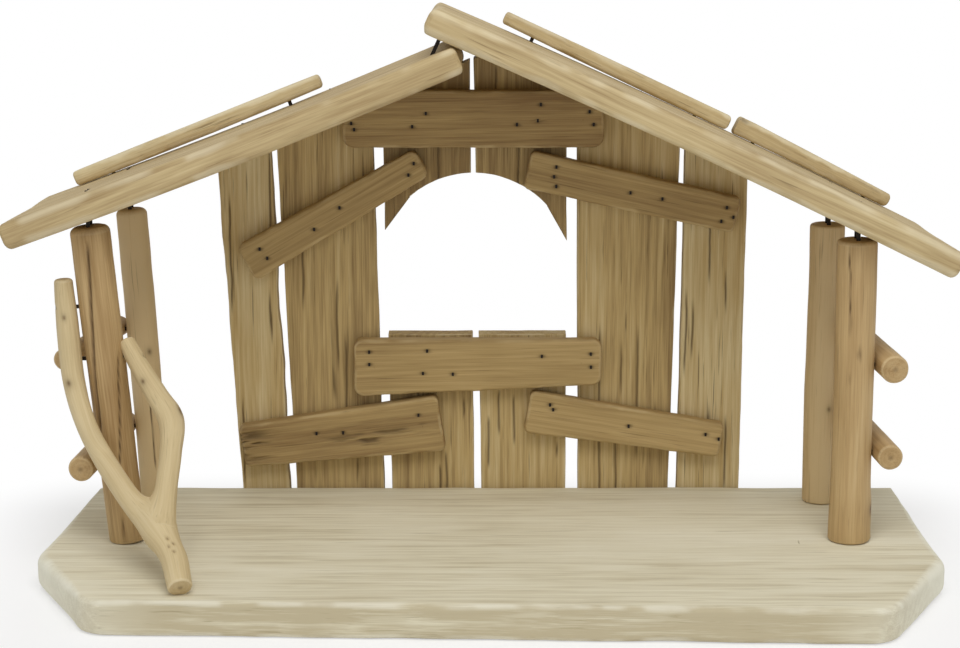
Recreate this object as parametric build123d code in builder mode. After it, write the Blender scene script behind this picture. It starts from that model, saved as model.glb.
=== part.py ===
from build123d import *
from math import cos, radians, sin, tan
import os

# A rustic nativity stable nailed together from sawn boards and peeled branches.
# Millimetres. X runs to the right, Y to the back and Z up. The origin is on the underside of the base.

# Fits
overrun = 4.0  # how far every cut runs past the wood
branch_clearance = 0.3  # room between two round branches that bear on each other
branch_sides = 28  # narrow flats all round a peeled branch
seat_bite = 0.8  # how deep a bearing corner is trimmed to sit flat on a roof plank

# Base plank: clipped front corners, sides that draw in to the back
base_thickness = 20.0
base_back = 102.0
base_wide_left = 246.0
base_wide_left_front = 22.0
base_wide_right = 245.0
base_wide_right_front = 32.0
base_back_left_inset = 15.0
base_back_right_inset = 6.0
base_front_left_inset = 38.0
base_front_left_front = 96.0
base_front_right_inset = 41.0
base_front_right_front = 110.0
base_corner_round = 18.0
base_back_round = 5.0
base_edge_round = 4.0
base_under_chamfer = 1.5

# Back wall: six columns of boards from left to right, measured at the foot and at the ridge
board_thickness = 11.0
board_lift = 1.0  # the feet stop this far above the floor
board_edge = 0.8
wall_foot_start = -146.5
far_left_foot_width = 30.6
left_foot_width = 53.1
window_left_foot_width = 49.6
window_right_foot_width = 50.8
right_foot_width = 54.1
far_right_foot_width = 38.1
far_left_foot_gap = 1.8
left_foot_gap = 3.4
window_foot_gap = 3.0
right_foot_gap = 6.5
far_right_foot_gap = 3.9
wall_head_start = -162.1
far_left_head_width = 34.9
left_head_width = 58.4
window_left_head_width = 51.7
window_right_head_width = 54.2
right_head_width = 62.3
far_right_head_width = 37.0
far_left_head_gap = 1.6
left_head_gap = 4.5
window_head_gap = 1.2
right_head_gap = 4.2
far_right_head_gap = 1.3

# Window: a low sill under an arch sawn through the two gable boards
sill_height = 112.7
arch_spring_height = 167.0
arch_rise = 40.4
arch_centre = -9.0
arch_half_width = 54.0
arch_shoulder_along_share = 0.52
arch_shoulder_rise_share = 0.80

# Battens nailed across the front of the boards
batten_thickness = 10.0
batten_edge = 1.2
batten_gap = 1.2  # between a level batten and the brace below it
brad_margin = 8.0  # least depth of a batten's brad below the roof
collar_left = -84.0
collar_length = 149.7
collar_width = 34.0
collar_drop = 61.5  # from the ridge to the lower edge
collar_corner = 7.0
sill_batten_left = -79.1
sill_batten_length = 144.8
sill_batten_left_width = 35.5
sill_batten_right_width = 28.5
sill_batten_drop = 0.9  # below the sill boards
sill_batten_corner = 6.0
upper_left_inner = -42.6
upper_left_length = 118.3
upper_left_inner_width = 18.5
upper_left_outer_width = 24.0
upper_left_corner = 5.0
upper_left_angle = 28.9
upper_right_inner = 23.8
upper_right_length = 124.0
upper_right_inner_width = 23.5
upper_right_outer_width = 22.0
upper_right_corner = 3.5
upper_right_angle = 12.8
lower_left_inner = -30.0
lower_left_length = 119.0
lower_left_inner_width = 35.0
lower_left_outer_width = 26.5
lower_left_corner = 4.0
lower_left_angle = 9.0
lower_right_inner = 24.0
lower_right_length = 116.0
lower_right_inner_width = 26.5
lower_right_outer_width = 21.5
lower_right_corner = 4.0
lower_right_angle = 10.0

# Roof: two planks, the right one lapped over the upper end of the left one
ridge_x = -2.0
ridge_height = 284.0
roof_front = -20.0
roof_back_overhang = 4.0
roof_back_tilt = 3.6
plank_thickness = 15.0
plank_edge_chamfer = 2.4
left_pitch = 21.3
left_eave = 8.5  # how far the plank's lower end passes the widest place of the base
left_plank_bow = -2.2
left_tail_round = 6.8
left_head_round = 5.5
right_pitch = 24.8
right_eave = 0.8
right_plank_lap = 38.0
right_plank_bow = 2.4
right_tail_round = 4.5
right_head_round = 6.8

# Laths nailed on the roof close to its back edge
lath_inset = 12.0
left_lath_start_share = 0.342
left_lath_length_share = 0.557
left_lath_head = 8.5
left_lath_tail = 9.5
left_lath_width = 14.0
left_lath_lift = 3.0
upper_lath_start_share = 0.002
upper_lath_length_share = 0.519
upper_lath_head = 8.0
upper_lath_tail = 9.5
upper_lath_width = 12.0
upper_lath_lift = 3.2
lower_lath_gap = 3.0
lower_lath_length_share = 0.359
lower_lath_head = 11.5
lower_lath_tail = 9.0
lower_lath_width = 15.0
lower_lath_lift = 0.6
lath_round = 3.2
lath_bite = 0.6

# Corner posts of peeled branch: how far the foot stands in from the base's widest place, how far it stands
# back, the lean of the head and the girth on the way up
post_rim = 1.5
front_left_inset = 47.2
front_left_y = 2.0
front_left_lean = -14.8
front_left_foot = 10.1
front_left_low = 10.4
front_left_mid = 10.8
front_left_head = 11.4
rear_left_inset = 52.2
rear_left_y = 79.0
rear_left_lean = -9.2
rear_left_foot = 9.1
rear_left_low = 8.6
rear_left_mid = 8.8
rear_left_head = 9.6
front_right_inset = 47.5
front_right_y = 2.5
front_right_lean = -1.5
front_right_foot = 11.8
front_right_low = 10.9
front_right_mid = 11.1
front_right_head = 10.5
rear_right_inset = 53.6
rear_right_y = 74.0
rear_right_lean = -0.5
rear_right_foot = 10.1
rear_right_low = 10.4
rear_right_mid = 10.1
rear_right_head = 9.9

# Side rails: peeled sticks nailed along the outer sides of the posts
rail_rim = 0.8
left_low_rail_height = 63.5
left_low_rail_radius = 7.0
left_low_rail_front = 12.0  # how far the stick runs ahead of the front post's middle
left_high_rail_height = 121.0
left_high_rail_radius = 5.8
left_high_rail_stand_off = 6.5
left_high_rail_gap = 1.8  # between the stick's end and the round back of the forked branch
left_high_brad_setback = 6.0  # behind the front post's middle
right_low_rail_height = 70.0
right_low_rail_radius = 7.0
right_low_rail_front = 12.5
right_high_rail_height = 119.0
right_high_rail_radius = 7.7
right_high_rail_front = 12.5
rail_back = 9.0  # how far a stick runs behind the rear post's middle

# Forked branch: its foot stands at the base's front edge, one arm passes the left front post outside,
# the other is cut to fit against the post's inner side
fork_width = 70.0
fork_depth = 92.0
fork_height = 147.0
fork_outset = 29.7  # how far the arm's tip stands left of the post's foot
fork_radius = 6.0
# each row: across, forward and up as shares of the fork's box, then the girth as a share
arm_shares = [(1.0, 1.0, 0.03, 1.08), (0.927, 0.804, 0.109, 1.25), (0.801, 0.63, 0.194, 1.45),
              (0.593, 0.446, 0.273, 1.07), (0.356, 0.186, 0.361, 0.95), (0.216, 0.162, 0.483, 0.93),
              (0.073, 0.08, 0.628, 1.0), (0.027, 0.048, 0.811, 1.02), (0.004, 0.033, 1.0, 0.83)]
limb_shares = [(0.801, 0.609, 0.204, 1.0), (0.851, 0.478, 0.306, 0.98), (0.86, 0.38, 0.408, 1.03),
               (0.839, 0.283, 0.503, 1.15), (0.716, 0.185, 0.592, 1.0), (0.593, 0.098, 0.67, 0.9),
               (0.413, -0.033, 0.796, 0.77)]

# Brads: flat wire pins with their heads sunk a little into the wood
brad_width = 2.0
brad_thickness = 1.2
brad_sink = 0.4
batten_brad_length = 18.0
wall_nail_length = 32.0
roof_nail_length = 38.0
ridge_nail_length = 28.0
lath_brad_length = 20.0
rail_brad_length = 26.0
branch_brad_length = 18.0
base_nail_length = 45.0

# Places of the brads, as shares of the piece that they hold
collar_brad_shares = [(0.037, 0.535), (0.048, 0.67), (0.268, 0.62), (0.32, 0.40),
                      (0.665, 0.585), (0.744, 0.52), (0.755, 0.25), (0.94, 0.37), (0.956, 0.585)]
sill_brad_shares = [(0.065, 0.23), (0.065, 0.44), (0.28, 0.62), (0.297, 0.22),
                    (0.40, 0.65), (0.757, 0.35), (0.953, 0.32), (0.954, 0.59)]
upper_left_brad_shares = [(0.04, 0.40), (0.09, 0.62), (0.46, 0.44), (0.62, 0.60), (0.90, 0.34), (0.89, 0.63)]
upper_right_brad_shares = [(0.13, 0.27), (0.13, 0.52), (0.15, 0.74), (0.49, 0.50),
                           (0.64, 0.48), (0.94, 0.34), (0.98, 0.55), (0.93, 0.72)]
lower_left_brad_shares = [(0.11, 0.30), (0.49, 0.45), (0.62, 0.40)]
lower_right_brad_shares = [(0.11, 0.25), (0.13, 0.35), (0.52, 0.47), (0.91, 0.38), (0.98, 0.45)]
wall_nail_height_share = 0.5
post_nail_share = 0.35
board_nail_share = 0.6
wall_nail_shares = [0.25, 0.75]
ridge_nail_shares = [0.12, 0.84]
ridge_nail_along_share = 0.72
lath_brad_shares = [0.14, 0.86]
arm_brad_share = 0.45
limb_brad_share = 0.35

# Worked-out places
wall_front = base_back
wall_back = wall_front + board_thickness
batten_front = wall_front - batten_thickness
collar_height = ridge_height - collar_drop
tilt = radians(roof_back_tilt)
left_plank_length = (ridge_x + base_wide_left + left_eave) / cos(radians(left_pitch))
right_plank_length = (base_wide_right + right_eave - ridge_x) / cos(radians(right_pitch))
roof_depth = (wall_back + roof_back_overhang - roof_front) / cos(tilt)
wall_top = ridge_height + plank_thickness
front_left_x = front_left_inset - base_wide_left
rear_left_x = rear_left_inset - base_wide_left
front_right_x = base_wide_right - front_right_inset
rear_right_x = base_wide_right - rear_right_inset
left_foot_start = wall_foot_start + far_left_foot_width + far_left_foot_gap
window_left_foot_start = left_foot_start + left_foot_width + left_foot_gap
window_right_foot_start = window_left_foot_start + window_left_foot_width + window_foot_gap
right_foot_start = window_right_foot_start + window_right_foot_width + right_foot_gap
far_right_foot_start = right_foot_start + right_foot_width + far_right_foot_gap
left_head_start = wall_head_start + far_left_head_width + far_left_head_gap
window_left_head_start = left_head_start + left_head_width + left_head_gap
window_right_head_start = window_left_head_start + window_left_head_width + window_head_gap
right_head_start = window_right_head_start + window_right_head_width + right_head_gap
far_right_head_start = right_head_start + right_head_width + far_right_head_gap


def bow_rise(bow, share):
    """Height of a shallow bow at a share of its length."""
    return 4 * bow * share * (1 - share)


def slope_plane(pitch):
    """Front plane of a roof slope: x runs up along the slope to the right, y stands square on the plank."""
    up = Vector(0, sin(tilt), cos(tilt))
    along = Vector(1, 0, 0) * cos(radians(pitch)) + up * sin(radians(pitch))
    return Plane(origin=(ridge_x, roof_front, ridge_height), x_dir=along, z_dir=(0, -cos(tilt), sin(tilt)))


left_slope = slope_plane(left_pitch)
right_slope = slope_plane(-right_pitch)
lap_angle = radians(left_pitch + right_pitch)
right_lap_rise = bow_rise(right_plank_bow, right_plank_lap / (right_plank_lap + right_plank_length))
left_head_setback = plank_thickness / tan(lap_angle) - (seat_bite + right_lap_rise) / sin(lap_angle)


def underside_height(x, y):
    """Height of the roof's underside over a point of the plan."""
    if x < ridge_x:
        along = (ridge_x - x) / cos(radians(left_pitch))
        rise = bow_rise(left_plank_bow, along / left_plank_length) - along * sin(radians(left_pitch))
    else:
        along = (x - ridge_x) / cos(radians(right_pitch))
        bow_share = (along + right_plank_lap) / (right_plank_length + right_plank_lap)
        rise = bow_rise(right_plank_bow, bow_share) - along * sin(radians(right_pitch))
    return ridge_height + rise - (y - roof_front) * tan(tilt)


def roof_top(x, y):
    """Level plane on top of the roof over a point of the plan, its normal pointing straight down."""
    pitch = left_pitch if x < ridge_x else right_pitch
    height = underside_height(x, y) + plank_thickness / (cos(radians(pitch)) * cos(tilt))
    return Plane(origin=(x, y, height), x_dir=(1, 0, 0), z_dir=(0, 0, -1))


def edge_at(foot, head, height):
    """Place of a wall board's leaning edge at a height."""
    return foot + (head - foot) * height / wall_top


def pins(planes, length, start):
    """Flat wire pins along the planes' normals, from the given start to their full length."""
    with BuildPart() as group:
        for plane in planes:
            with BuildSketch(plane.offset(start)):
                Rectangle(brad_width, brad_thickness)
            extrude(amount=length - start)
    return group


def cut_all(cuts):
    """Take each of the cuts out of the piece that is being made."""
    for cut in cuts:
        add(cut, mode=Mode.SUBTRACT)


# Corner posts: place of the foot, lean, girths at the foot, at both rails and at the head, then the heights
# of the rails
posts = {
    "front_post_left": (front_left_x, front_left_y, front_left_lean,
                        (front_left_foot, front_left_low, front_left_mid, front_left_head),
                        left_low_rail_height, left_high_rail_height),
    "rear_post_left": (rear_left_x, rear_left_y, rear_left_lean,
                       (rear_left_foot, rear_left_low, rear_left_mid, rear_left_head),
                       left_low_rail_height, left_high_rail_height),
    "front_post_right": (front_right_x, front_right_y, front_right_lean,
                         (front_right_foot, front_right_low, front_right_mid, front_right_head),
                         right_low_rail_height, right_high_rail_height),
    "rear_post_right": (rear_right_x, rear_right_y, rear_right_lean,
                        (rear_right_foot, rear_right_low, rear_right_mid, rear_right_head),
                        right_low_rail_height, right_high_rail_height),
}


def post_top(name):
    """Height of a square-cut post head whose outer rim is trimmed by the roof."""
    x, y, lean, girths, low_height, high_height = posts[name]
    reach = -girths[-1] if x < 0 else girths[-1]
    return underside_height(x + lean + reach, y) + seat_bite


def post_at(name, height):
    """Middle of a leaning post at a height."""
    x, y, lean, girths, low_height, high_height = posts[name]
    return Vector(x + lean * (height - base_thickness) / (post_top(name) - base_thickness), y, height)


# Side rails: the two posts, which of the posts' girths they pass, height, radius, how far the stick stands
# off the front post and how far its first brad stands behind that post's middle
rails = {
    "side_rail_left_lower": ("front_post_left", "rear_post_left", 1, left_low_rail_height,
                             left_low_rail_radius, 0, 0),
    "side_rail_left_upper": ("front_post_left", "rear_post_left", 2, left_high_rail_height,
                             left_high_rail_radius, left_high_rail_stand_off, left_high_brad_setback),
    "side_rail_right_lower": ("front_post_right", "rear_post_right", 1, right_low_rail_height,
                              right_low_rail_radius, 0, 0),
    "side_rail_right_upper": ("front_post_right", "rear_post_right", 2, right_high_rail_height,
                              right_high_rail_radius, 0, 0),
}


def rail_line(name):
    """Middles of a rail where it passes its two posts."""
    front_post, rear_post, ring, height, radius, stand_off, setback = rails[name]
    front = post_at(front_post, height)
    rear = post_at(rear_post, height)
    side = -1 if front.X < 0 else 1
    front_reach = side * (posts[front_post][3][ring] + radius + branch_clearance + stand_off)
    rear_reach = side * (posts[rear_post][3][ring] + radius + branch_clearance)
    slant = (rear.X + rear_reach - front.X - front_reach) / (rear.Y - front.Y)
    stretch = (1 + slant ** 2) ** 0.5
    return front + Vector(front_reach * stretch, 0, 0), rear + Vector(rear_reach * stretch, 0, 0)


def fork_stations(shares):
    """Middles and girths of a limb of the forked branch."""
    stations = []
    for across, forward, up, girth in shares:
        place = Vector(front_left_x - fork_outset + across * fork_width, front_left_y - forward * fork_depth,
                       base_thickness + up * fork_height)
        stations.append((place, girth * fork_radius))
    return stations


arm_stations = fork_stations(arm_shares)
limb_stations = fork_stations(limb_shares)

# Battens: each lies in a plane whose x runs outwards along its upper edge

def batten_plane(side, inner, corner_height, angle):
    """Front plane of a batten, hung from the upper corner of its inner end."""
    return Plane(origin=(inner, batten_front, corner_height),
                 x_dir=(side * cos(radians(angle)), 0, -sin(radians(angle))), z_dir=(0, -side, 0))


def corner_lift(corner, angle):
    """How far a tilted batten's sharp corner stands above its rounded one."""
    return corner * (sin(radians(angle)) + cos(radians(angle)) - 1)


def sill_under(x):
    """Lower edge of the sill batten at a place."""
    taper = (sill_batten_right_width - sill_batten_left_width) * (x - sill_batten_left) / sill_batten_length
    return sill_height - sill_batten_drop - sill_batten_left_width - taper


upper_left_height = collar_height - batten_gap + corner_lift(upper_left_corner, upper_left_angle)
upper_right_height = collar_height - batten_gap + corner_lift(upper_right_corner, upper_right_angle)
lower_left_height = (sill_under(lower_left_inner) - batten_gap
                     + corner_lift(lower_left_corner, lower_left_angle))
lower_right_height = (sill_under(lower_right_inner) - batten_gap
                      + corner_lift(lower_right_corner, lower_right_angle))
# each row: plane, side, length, inner width, outer width, corner round, brad places
battens = {
    "collar_batten": (batten_plane(1, collar_left, collar_height + collar_width, 0), 1, collar_length,
                      collar_width, collar_width, collar_corner, collar_brad_shares),
    "sill_batten": (batten_plane(1, sill_batten_left, sill_height - sill_batten_drop, 0), 1,
                    sill_batten_length, sill_batten_left_width, sill_batten_right_width, sill_batten_corner,
                    sill_brad_shares),
    "brace_upper_left": (batten_plane(-1, upper_left_inner, upper_left_height, upper_left_angle), -1,
                         upper_left_length, upper_left_inner_width, upper_left_outer_width,
                         upper_left_corner, upper_left_brad_shares),
    "brace_upper_right": (batten_plane(1, upper_right_inner, upper_right_height, upper_right_angle), 1,
                          upper_right_length, upper_right_inner_width, upper_right_outer_width,
                          upper_right_corner, upper_right_brad_shares),
    "brace_lower_left": (batten_plane(-1, lower_left_inner, lower_left_height, lower_left_angle), -1,
                         lower_left_length, lower_left_inner_width, lower_left_outer_width,
                         lower_left_corner, lower_left_brad_shares),
    "brace_lower_right": (batten_plane(1, lower_right_inner, lower_right_height, lower_right_angle), 1,
                          lower_right_length, lower_right_inner_width, lower_right_outer_width,
                          lower_right_corner, lower_right_brad_shares),
}

# Wall boards: foot and head starts and widths of each column
columns = {
    "far_left": (wall_foot_start, far_left_foot_width, wall_head_start, far_left_head_width),
    "left": (left_foot_start, left_foot_width, left_head_start, left_head_width),
    "window_left": (window_left_foot_start, window_left_foot_width, window_left_head_start,
                    window_left_head_width),
    "window_right": (window_right_foot_start, window_right_foot_width, window_right_head_start,
                     window_right_head_width),
    "right": (right_foot_start, right_foot_width, right_head_start, right_head_width),
    "far_right": (far_right_foot_start, far_right_foot_width, far_right_head_start, far_right_head_width),
}

# Brads and nails, and the holes that they leave in the wood

def batten_brad_planes():
    """Brads driven from the front through every batten into the boards behind it."""
    planes = []
    for plane, side, length, inner_width, outer_width, corner, shares in battens.values():
        for along, down in shares:
            width = inner_width + (outer_width - inner_width) * along
            place = plane.from_local_coords((along * length, -down * width, 0))
            height = min(place.Z, underside_height(place.X, batten_front) - brad_margin)
            planes.append(Plane(origin=(place.X, batten_front, height), x_dir=(0, 0, 1), z_dir=(0, 1, 0)))
    return planes


def wall_nail_planes():
    """Nails driven from behind through each standing board into the edge of the base."""
    planes = []
    height = base_thickness * wall_nail_height_share
    for foot_start, foot_width, head_start, head_width in columns.values():
        for share in wall_nail_shares:
            x = edge_at(foot_start + foot_width * share, head_start + head_width * share, height)
            planes.append(Plane(origin=(x, wall_back, height), x_dir=(0, 0, 1), z_dir=(0, -1, 0)))
    return planes


def roof_nail_planes():
    """Nails driven straight down from the top of the roof into the post heads and into the wall boards."""
    planes = []
    for x, y, lean, girths, low_height, high_height in posts.values():
        for way in (-1, 1):
            planes.append(roof_top(x + lean, y + way * post_nail_share * girths[-1]))
    for foot_start, foot_width, head_start, head_width in columns.values():
        planes.append(roof_top(head_start + head_width * board_nail_share, (wall_front + wall_back) / 2))
    return planes


def ridge_nail_planes():
    """Nails through the lapped end of the right plank into the left plank."""
    planes = []
    along = -right_plank_lap * ridge_nail_along_share
    for share in ridge_nail_shares:
        place = right_slope.from_local_coords((along, plank_thickness, -roof_depth * share))
        planes.append(Plane(origin=place, x_dir=right_slope.x_dir, z_dir=right_slope.y_dir * -1))
    return planes


def rail_nail_planes():
    """Brads from outside through each rail into its two posts."""
    planes = []
    for name, (front_post, rear_post, ring, height, radius, stand_off, setback) in rails.items():
        front, rear = rail_line(name)
        side = -1 if front.X < 0 else 1
        first = front + (rear - front) * (setback / (rear.Y - front.Y))
        for place in (first, rear):
            head = place + Vector(side * radius, 0, 0)
            planes.append(Plane(origin=head, x_dir=(0, 0, 1), z_dir=(-side, 0, 0)))
    return planes


def branch_brad_plane(lower, upper, share):
    """Brad through a limb of the fork, square to the left front post's middle line."""
    place = lower[0] + (upper[0] - lower[0]) * share
    radius = lower[1] + (upper[1] - lower[1]) * share
    inward = (post_at("front_post_left", place.Z) - place).normalized()
    return Plane(origin=place - inward * radius, x_dir=(0, 0, 1), z_dir=inward)


# Laths: the part of the roof's length that each covers, and its underside at both ends

def lath_ends(side, start, length, lift, bow, bow_start, bow_length):
    """Upper and lower end of a lath's underside along its slope; the lower end is let into the plank."""
    ends = []
    for along, rise in ((start, lift), (start + length, 0)):
        top = plank_thickness + bow_rise(bow, (along + bow_start) / bow_length)
        ends.append((side * along, top - lath_bite + rise))
    return ends


left_lath_start = left_plank_length * left_lath_start_share
left_lath_length = left_plank_length * left_lath_length_share
upper_lath_start = right_plank_length * upper_lath_start_share
upper_lath_length = right_plank_length * upper_lath_length_share
lower_lath_start = upper_lath_start + upper_lath_length + lower_lath_gap
lower_lath_length = right_plank_length * lower_lath_length_share
right_bow_length = right_plank_length + right_plank_lap
left_lath_ends = lath_ends(-1, left_lath_start, left_lath_length, left_lath_lift, left_plank_bow, 0,
                           left_plank_length)
upper_lath_ends = lath_ends(1, upper_lath_start, upper_lath_length, upper_lath_lift, right_plank_bow,
                            right_plank_lap, right_bow_length)
lower_lath_ends = lath_ends(1, lower_lath_start, lower_lath_length, lower_lath_lift, right_plank_bow,
                            right_plank_lap, right_bow_length)
# each row: slope, underside ends, head and tail thickness, width
laths = {
    "roof_lath_left": (left_slope, left_lath_ends, left_lath_head, left_lath_tail, left_lath_width),
    "roof_lath_right_upper": (right_slope, upper_lath_ends, upper_lath_head, upper_lath_tail,
                              upper_lath_width),
    "roof_lath_right_lower": (right_slope, lower_lath_ends, lower_lath_head, lower_lath_tail,
                              lower_lath_width),
}


def lath_brad_planes():
    """Brads through each lath into the roof plank below."""
    planes = []
    for slope, (upper, lower), head, tail, width in laths.values():
        back = roof_depth - lath_inset - width / 2
        for share in lath_brad_shares:
            along = upper[0] + (lower[0] - upper[0]) * share
            height = upper[1] + head + (lower[1] + tail - upper[1] - head) * share
            place = slope.from_local_coords((along, height, -back))
            planes.append(Plane(origin=place, x_dir=slope.x_dir, z_dir=slope.y_dir * -1))
    return planes


def base_nail_planes():
    """Nails from under the base up into the middle of each post's foot."""
    planes = []
    for x, y, lean, girths, low_height, high_height in posts.values():
        planes.append(Plane(origin=(x, y, 0), x_dir=(1, 0, 0), z_dir=(0, 0, 1)))
    return planes


fasteners = {
    "batten_brads": (batten_brad_planes(), batten_brad_length),
    "wall_nails": (wall_nail_planes(), wall_nail_length),
    "roof_nails": (roof_nail_planes(), roof_nail_length),
    "ridge_nails": (ridge_nail_planes(), ridge_nail_length),
    "lath_brads": (lath_brad_planes(), lath_brad_length),
    "rail_brads": (rail_nail_planes(), rail_brad_length),
    "branch_brads": ([branch_brad_plane(arm_stations[-2], arm_stations[-1], arm_brad_share),
                      branch_brad_plane(limb_stations[-2], limb_stations[-1], limb_brad_share)],
                     branch_brad_length),
    "base_nails": (base_nail_planes(), base_nail_length),
}
pieces = {}
holes = {}
for name, (planes, length) in fasteners.items():
    pieces[name] = pins(planes, length, brad_sink)
    holes[name] = pins(planes, length, -overrun).part

# Roof planks

def plank_band(start, end, bow, top):
    """Long bowed band of a roof plank between two places along its slope."""
    middle = (start + end) / 2
    Line((start, top), (start, 0))
    Spline((start, 0), (middle, bow), (end, 0))
    Line((end, 0), (end, top))
    Spline((end, top), (middle, bow + top), (start, top))


def roof_space(slope, start, end, bow):
    """Everything above a plank's underside, which the wall and the posts stay out of."""
    with BuildPart() as space:
        with BuildSketch(slope.offset(overrun)):
            with BuildLine():
                plank_band(start, end, bow, ridge_height)
            make_face()
        extrude(amount=-(roof_depth + overrun + overrun))
    return space.part


def soften_plank(plank):
    """Take the sharp edges off the front and the back of a plank."""
    ends = plank.faces().sort_by(Axis.Y)
    chamfer(ends[0].edges() + ends[-1].edges(), length=plank_edge_chamfer)


left_space = roof_space(left_slope, -left_plank_length, 0, left_plank_bow)
right_space = roof_space(right_slope, -right_plank_lap, right_plank_length, right_plank_bow)

with BuildPart() as roof_plank_right:
    with BuildSketch(right_slope) as right_profile:
        with BuildLine():
            plank_band(-right_plank_lap, right_plank_length, right_plank_bow, plank_thickness)
        make_face()
        corners = right_profile.vertices().sort_by(Axis.X)
        fillet(corners[:2], radius=right_head_round)
        fillet(corners[2:], radius=right_tail_round)
    extrude(amount=-roof_depth)
    soften_plank(roof_plank_right)
pieces["roof_plank_right"] = roof_plank_right

with BuildPart() as roof_plank_left:
    with BuildSketch(left_slope) as left_profile:
        with BuildLine():
            plank_band(-left_plank_length, 0, left_plank_bow, plank_thickness)
        make_face()
        with Locations((-left_head_setback, 0)):
            Rectangle(left_plank_length, left_plank_length, align=(Align.MIN, Align.CENTER),
                      mode=Mode.SUBTRACT)
        corners = left_profile.vertices().sort_by(Axis.X)
        fillet(corners[:2], radius=left_tail_round)
        fillet(corners[2:].sort_by(Axis.Y)[0], radius=left_head_round)
    extrude(amount=-roof_depth)
    soften_plank(roof_plank_left)
    add(roof_plank_right.part, mode=Mode.SUBTRACT)
pieces["roof_plank_left"] = roof_plank_left

for name, (slope, (upper, lower), head, tail, width) in laths.items():
    with BuildPart() as lath:
        with BuildSketch(slope.offset(lath_inset + width - roof_depth)):
            with BuildLine():
                Polyline(upper, lower, (lower[0], lower[1] + tail), (upper[0], upper[1] + head), close=True)
            make_face()
        extrude(amount=-width)
        top = lath.faces().sort_by(Axis(slope.origin, slope.y_dir))[-1]
        fillet(top.edges(), radius=lath_round)
        cut_all([roof_plank_left.part, roof_plank_right.part, holes["lath_brads"]])
    pieces[name] = lath

with BuildPart() as drilled_right:
    add(roof_plank_right.part)
    cut_all([holes["roof_nails"], holes["ridge_nails"], holes["lath_brads"]])
pieces["roof_plank_right"] = drilled_right

with BuildPart() as drilled_left:
    add(roof_plank_left.part)
    cut_all([holes["roof_nails"], holes["ridge_nails"], holes["lath_brads"]])
pieces["roof_plank_left"] = drilled_left

# Base plank

with BuildPart() as base_plank:
    with BuildSketch() as base_outline:
        with BuildLine():
            Polyline((base_back_left_inset - base_wide_left, base_back),
                     (-base_wide_left, -base_wide_left_front),
                     (base_front_left_inset - base_wide_left, -base_front_left_front),
                     (base_wide_right - base_front_right_inset, -base_front_right_front),
                     (base_wide_right, -base_wide_right_front),
                     (base_wide_right - base_back_right_inset, base_back), close=True)
        make_face()
        corners = base_outline.vertices().sort_by(Axis.Y)
        fillet(corners[:-2], radius=base_corner_round)
        fillet(corners[-2:], radius=base_back_round)
    extrude(amount=base_thickness)
    fillet(base_plank.faces().sort_by(Axis.Z)[-1].edges(), radius=base_edge_round)
    chamfer(base_plank.faces().sort_by(Axis.Z)[0].edges(), length=base_under_chamfer)
    cut_all([holes["wall_nails"], holes["base_nails"]])
pieces["base_plank"] = base_plank

# Wall boards

def head_height(column):
    """Rough height of a full board before its head is trimmed to the roof."""
    foot_start, foot_width, head_start, head_width = column
    left_side = underside_height(head_start, wall_front)
    right_side = underside_height(head_start + head_width, wall_front)
    return max(left_side, right_side) + overrun


def wall_board(column, bottom, top, cuts):
    """One upright board with leaning edges, its head trimmed to the roof."""
    foot_start, foot_width, head_start, head_width = column
    foot_end = foot_start + foot_width
    head_end = head_start + head_width
    with BuildPart() as board:
        with BuildSketch(Plane.XZ.offset(-wall_front)):
            with BuildLine():
                Polyline((edge_at(foot_start, head_start, bottom), bottom),
                         (edge_at(foot_end, head_end, bottom), bottom),
                         (edge_at(foot_end, head_end, top), top),
                         (edge_at(foot_start, head_start, top), top), close=True)
            make_face()
        extrude(amount=-board_thickness)
        faces = board.faces().sort_by(Axis.Y)
        chamfer(faces[0].edges() + faces[-1].edges(), length=board_edge)
        cut_all([left_space, right_space] + cuts)
    return board


with BuildPart() as arch:
    with BuildSketch(Plane.XZ.offset(overrun - wall_front)):
        with BuildLine():
            arch_top = (arch_centre, arch_spring_height + arch_rise)
            shoulder_height = arch_spring_height + arch_rise * arch_shoulder_rise_share
            for side in (-1, 1):
                spring = (arch_centre + side * arch_half_width, arch_spring_height)
                shoulder_x = arch_centre + side * arch_half_width * arch_shoulder_along_share
                ThreePointArc(spring, (shoulder_x, shoulder_height), arch_top)
            Line((arch_centre - arch_half_width, arch_spring_height),
                 (arch_centre + arch_half_width, arch_spring_height))
        make_face()
    extrude(amount=-(board_thickness + overrun + overrun))

wall_holes = [holes["batten_brads"], holes["wall_nails"], holes["roof_nails"]]
for name, column in (("back_board_far_left", "far_left"), ("back_board_left", "left"),
                     ("back_board_right", "right"), ("back_board_far_right", "far_right")):
    pieces[name] = wall_board(columns[column], board_lift, head_height(columns[column]), wall_holes)
for name, column in (("gable_board_left", "window_left"), ("gable_board_right", "window_right")):
    pieces[name] = wall_board(columns[column], arch_spring_height, head_height(columns[column]),
                              [arch.part] + wall_holes)
for name, column in (("sill_board_left", "window_left"), ("sill_board_right", "window_right")):
    pieces[name] = wall_board(columns[column], board_lift, sill_height, wall_holes)

# Battens

for name, (plane, side, length, inner_width, outer_width, corner, shares) in battens.items():
    with BuildPart() as batten:
        with BuildSketch(plane) as batten_outline:
            with BuildLine():
                Polyline((0, 0), (0, -inner_width), (length, -outer_width), (length, 0), close=True)
            make_face()
            fillet(batten_outline.vertices(), radius=corner)
        extrude(amount=-side * batten_thickness)
        chamfer(batten.faces().sort_by(Axis.Y)[0].edges(), length=batten_edge)
        cut_all([left_space, right_space, holes["batten_brads"]])
    pieces[name] = batten

# Corner posts

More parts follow.
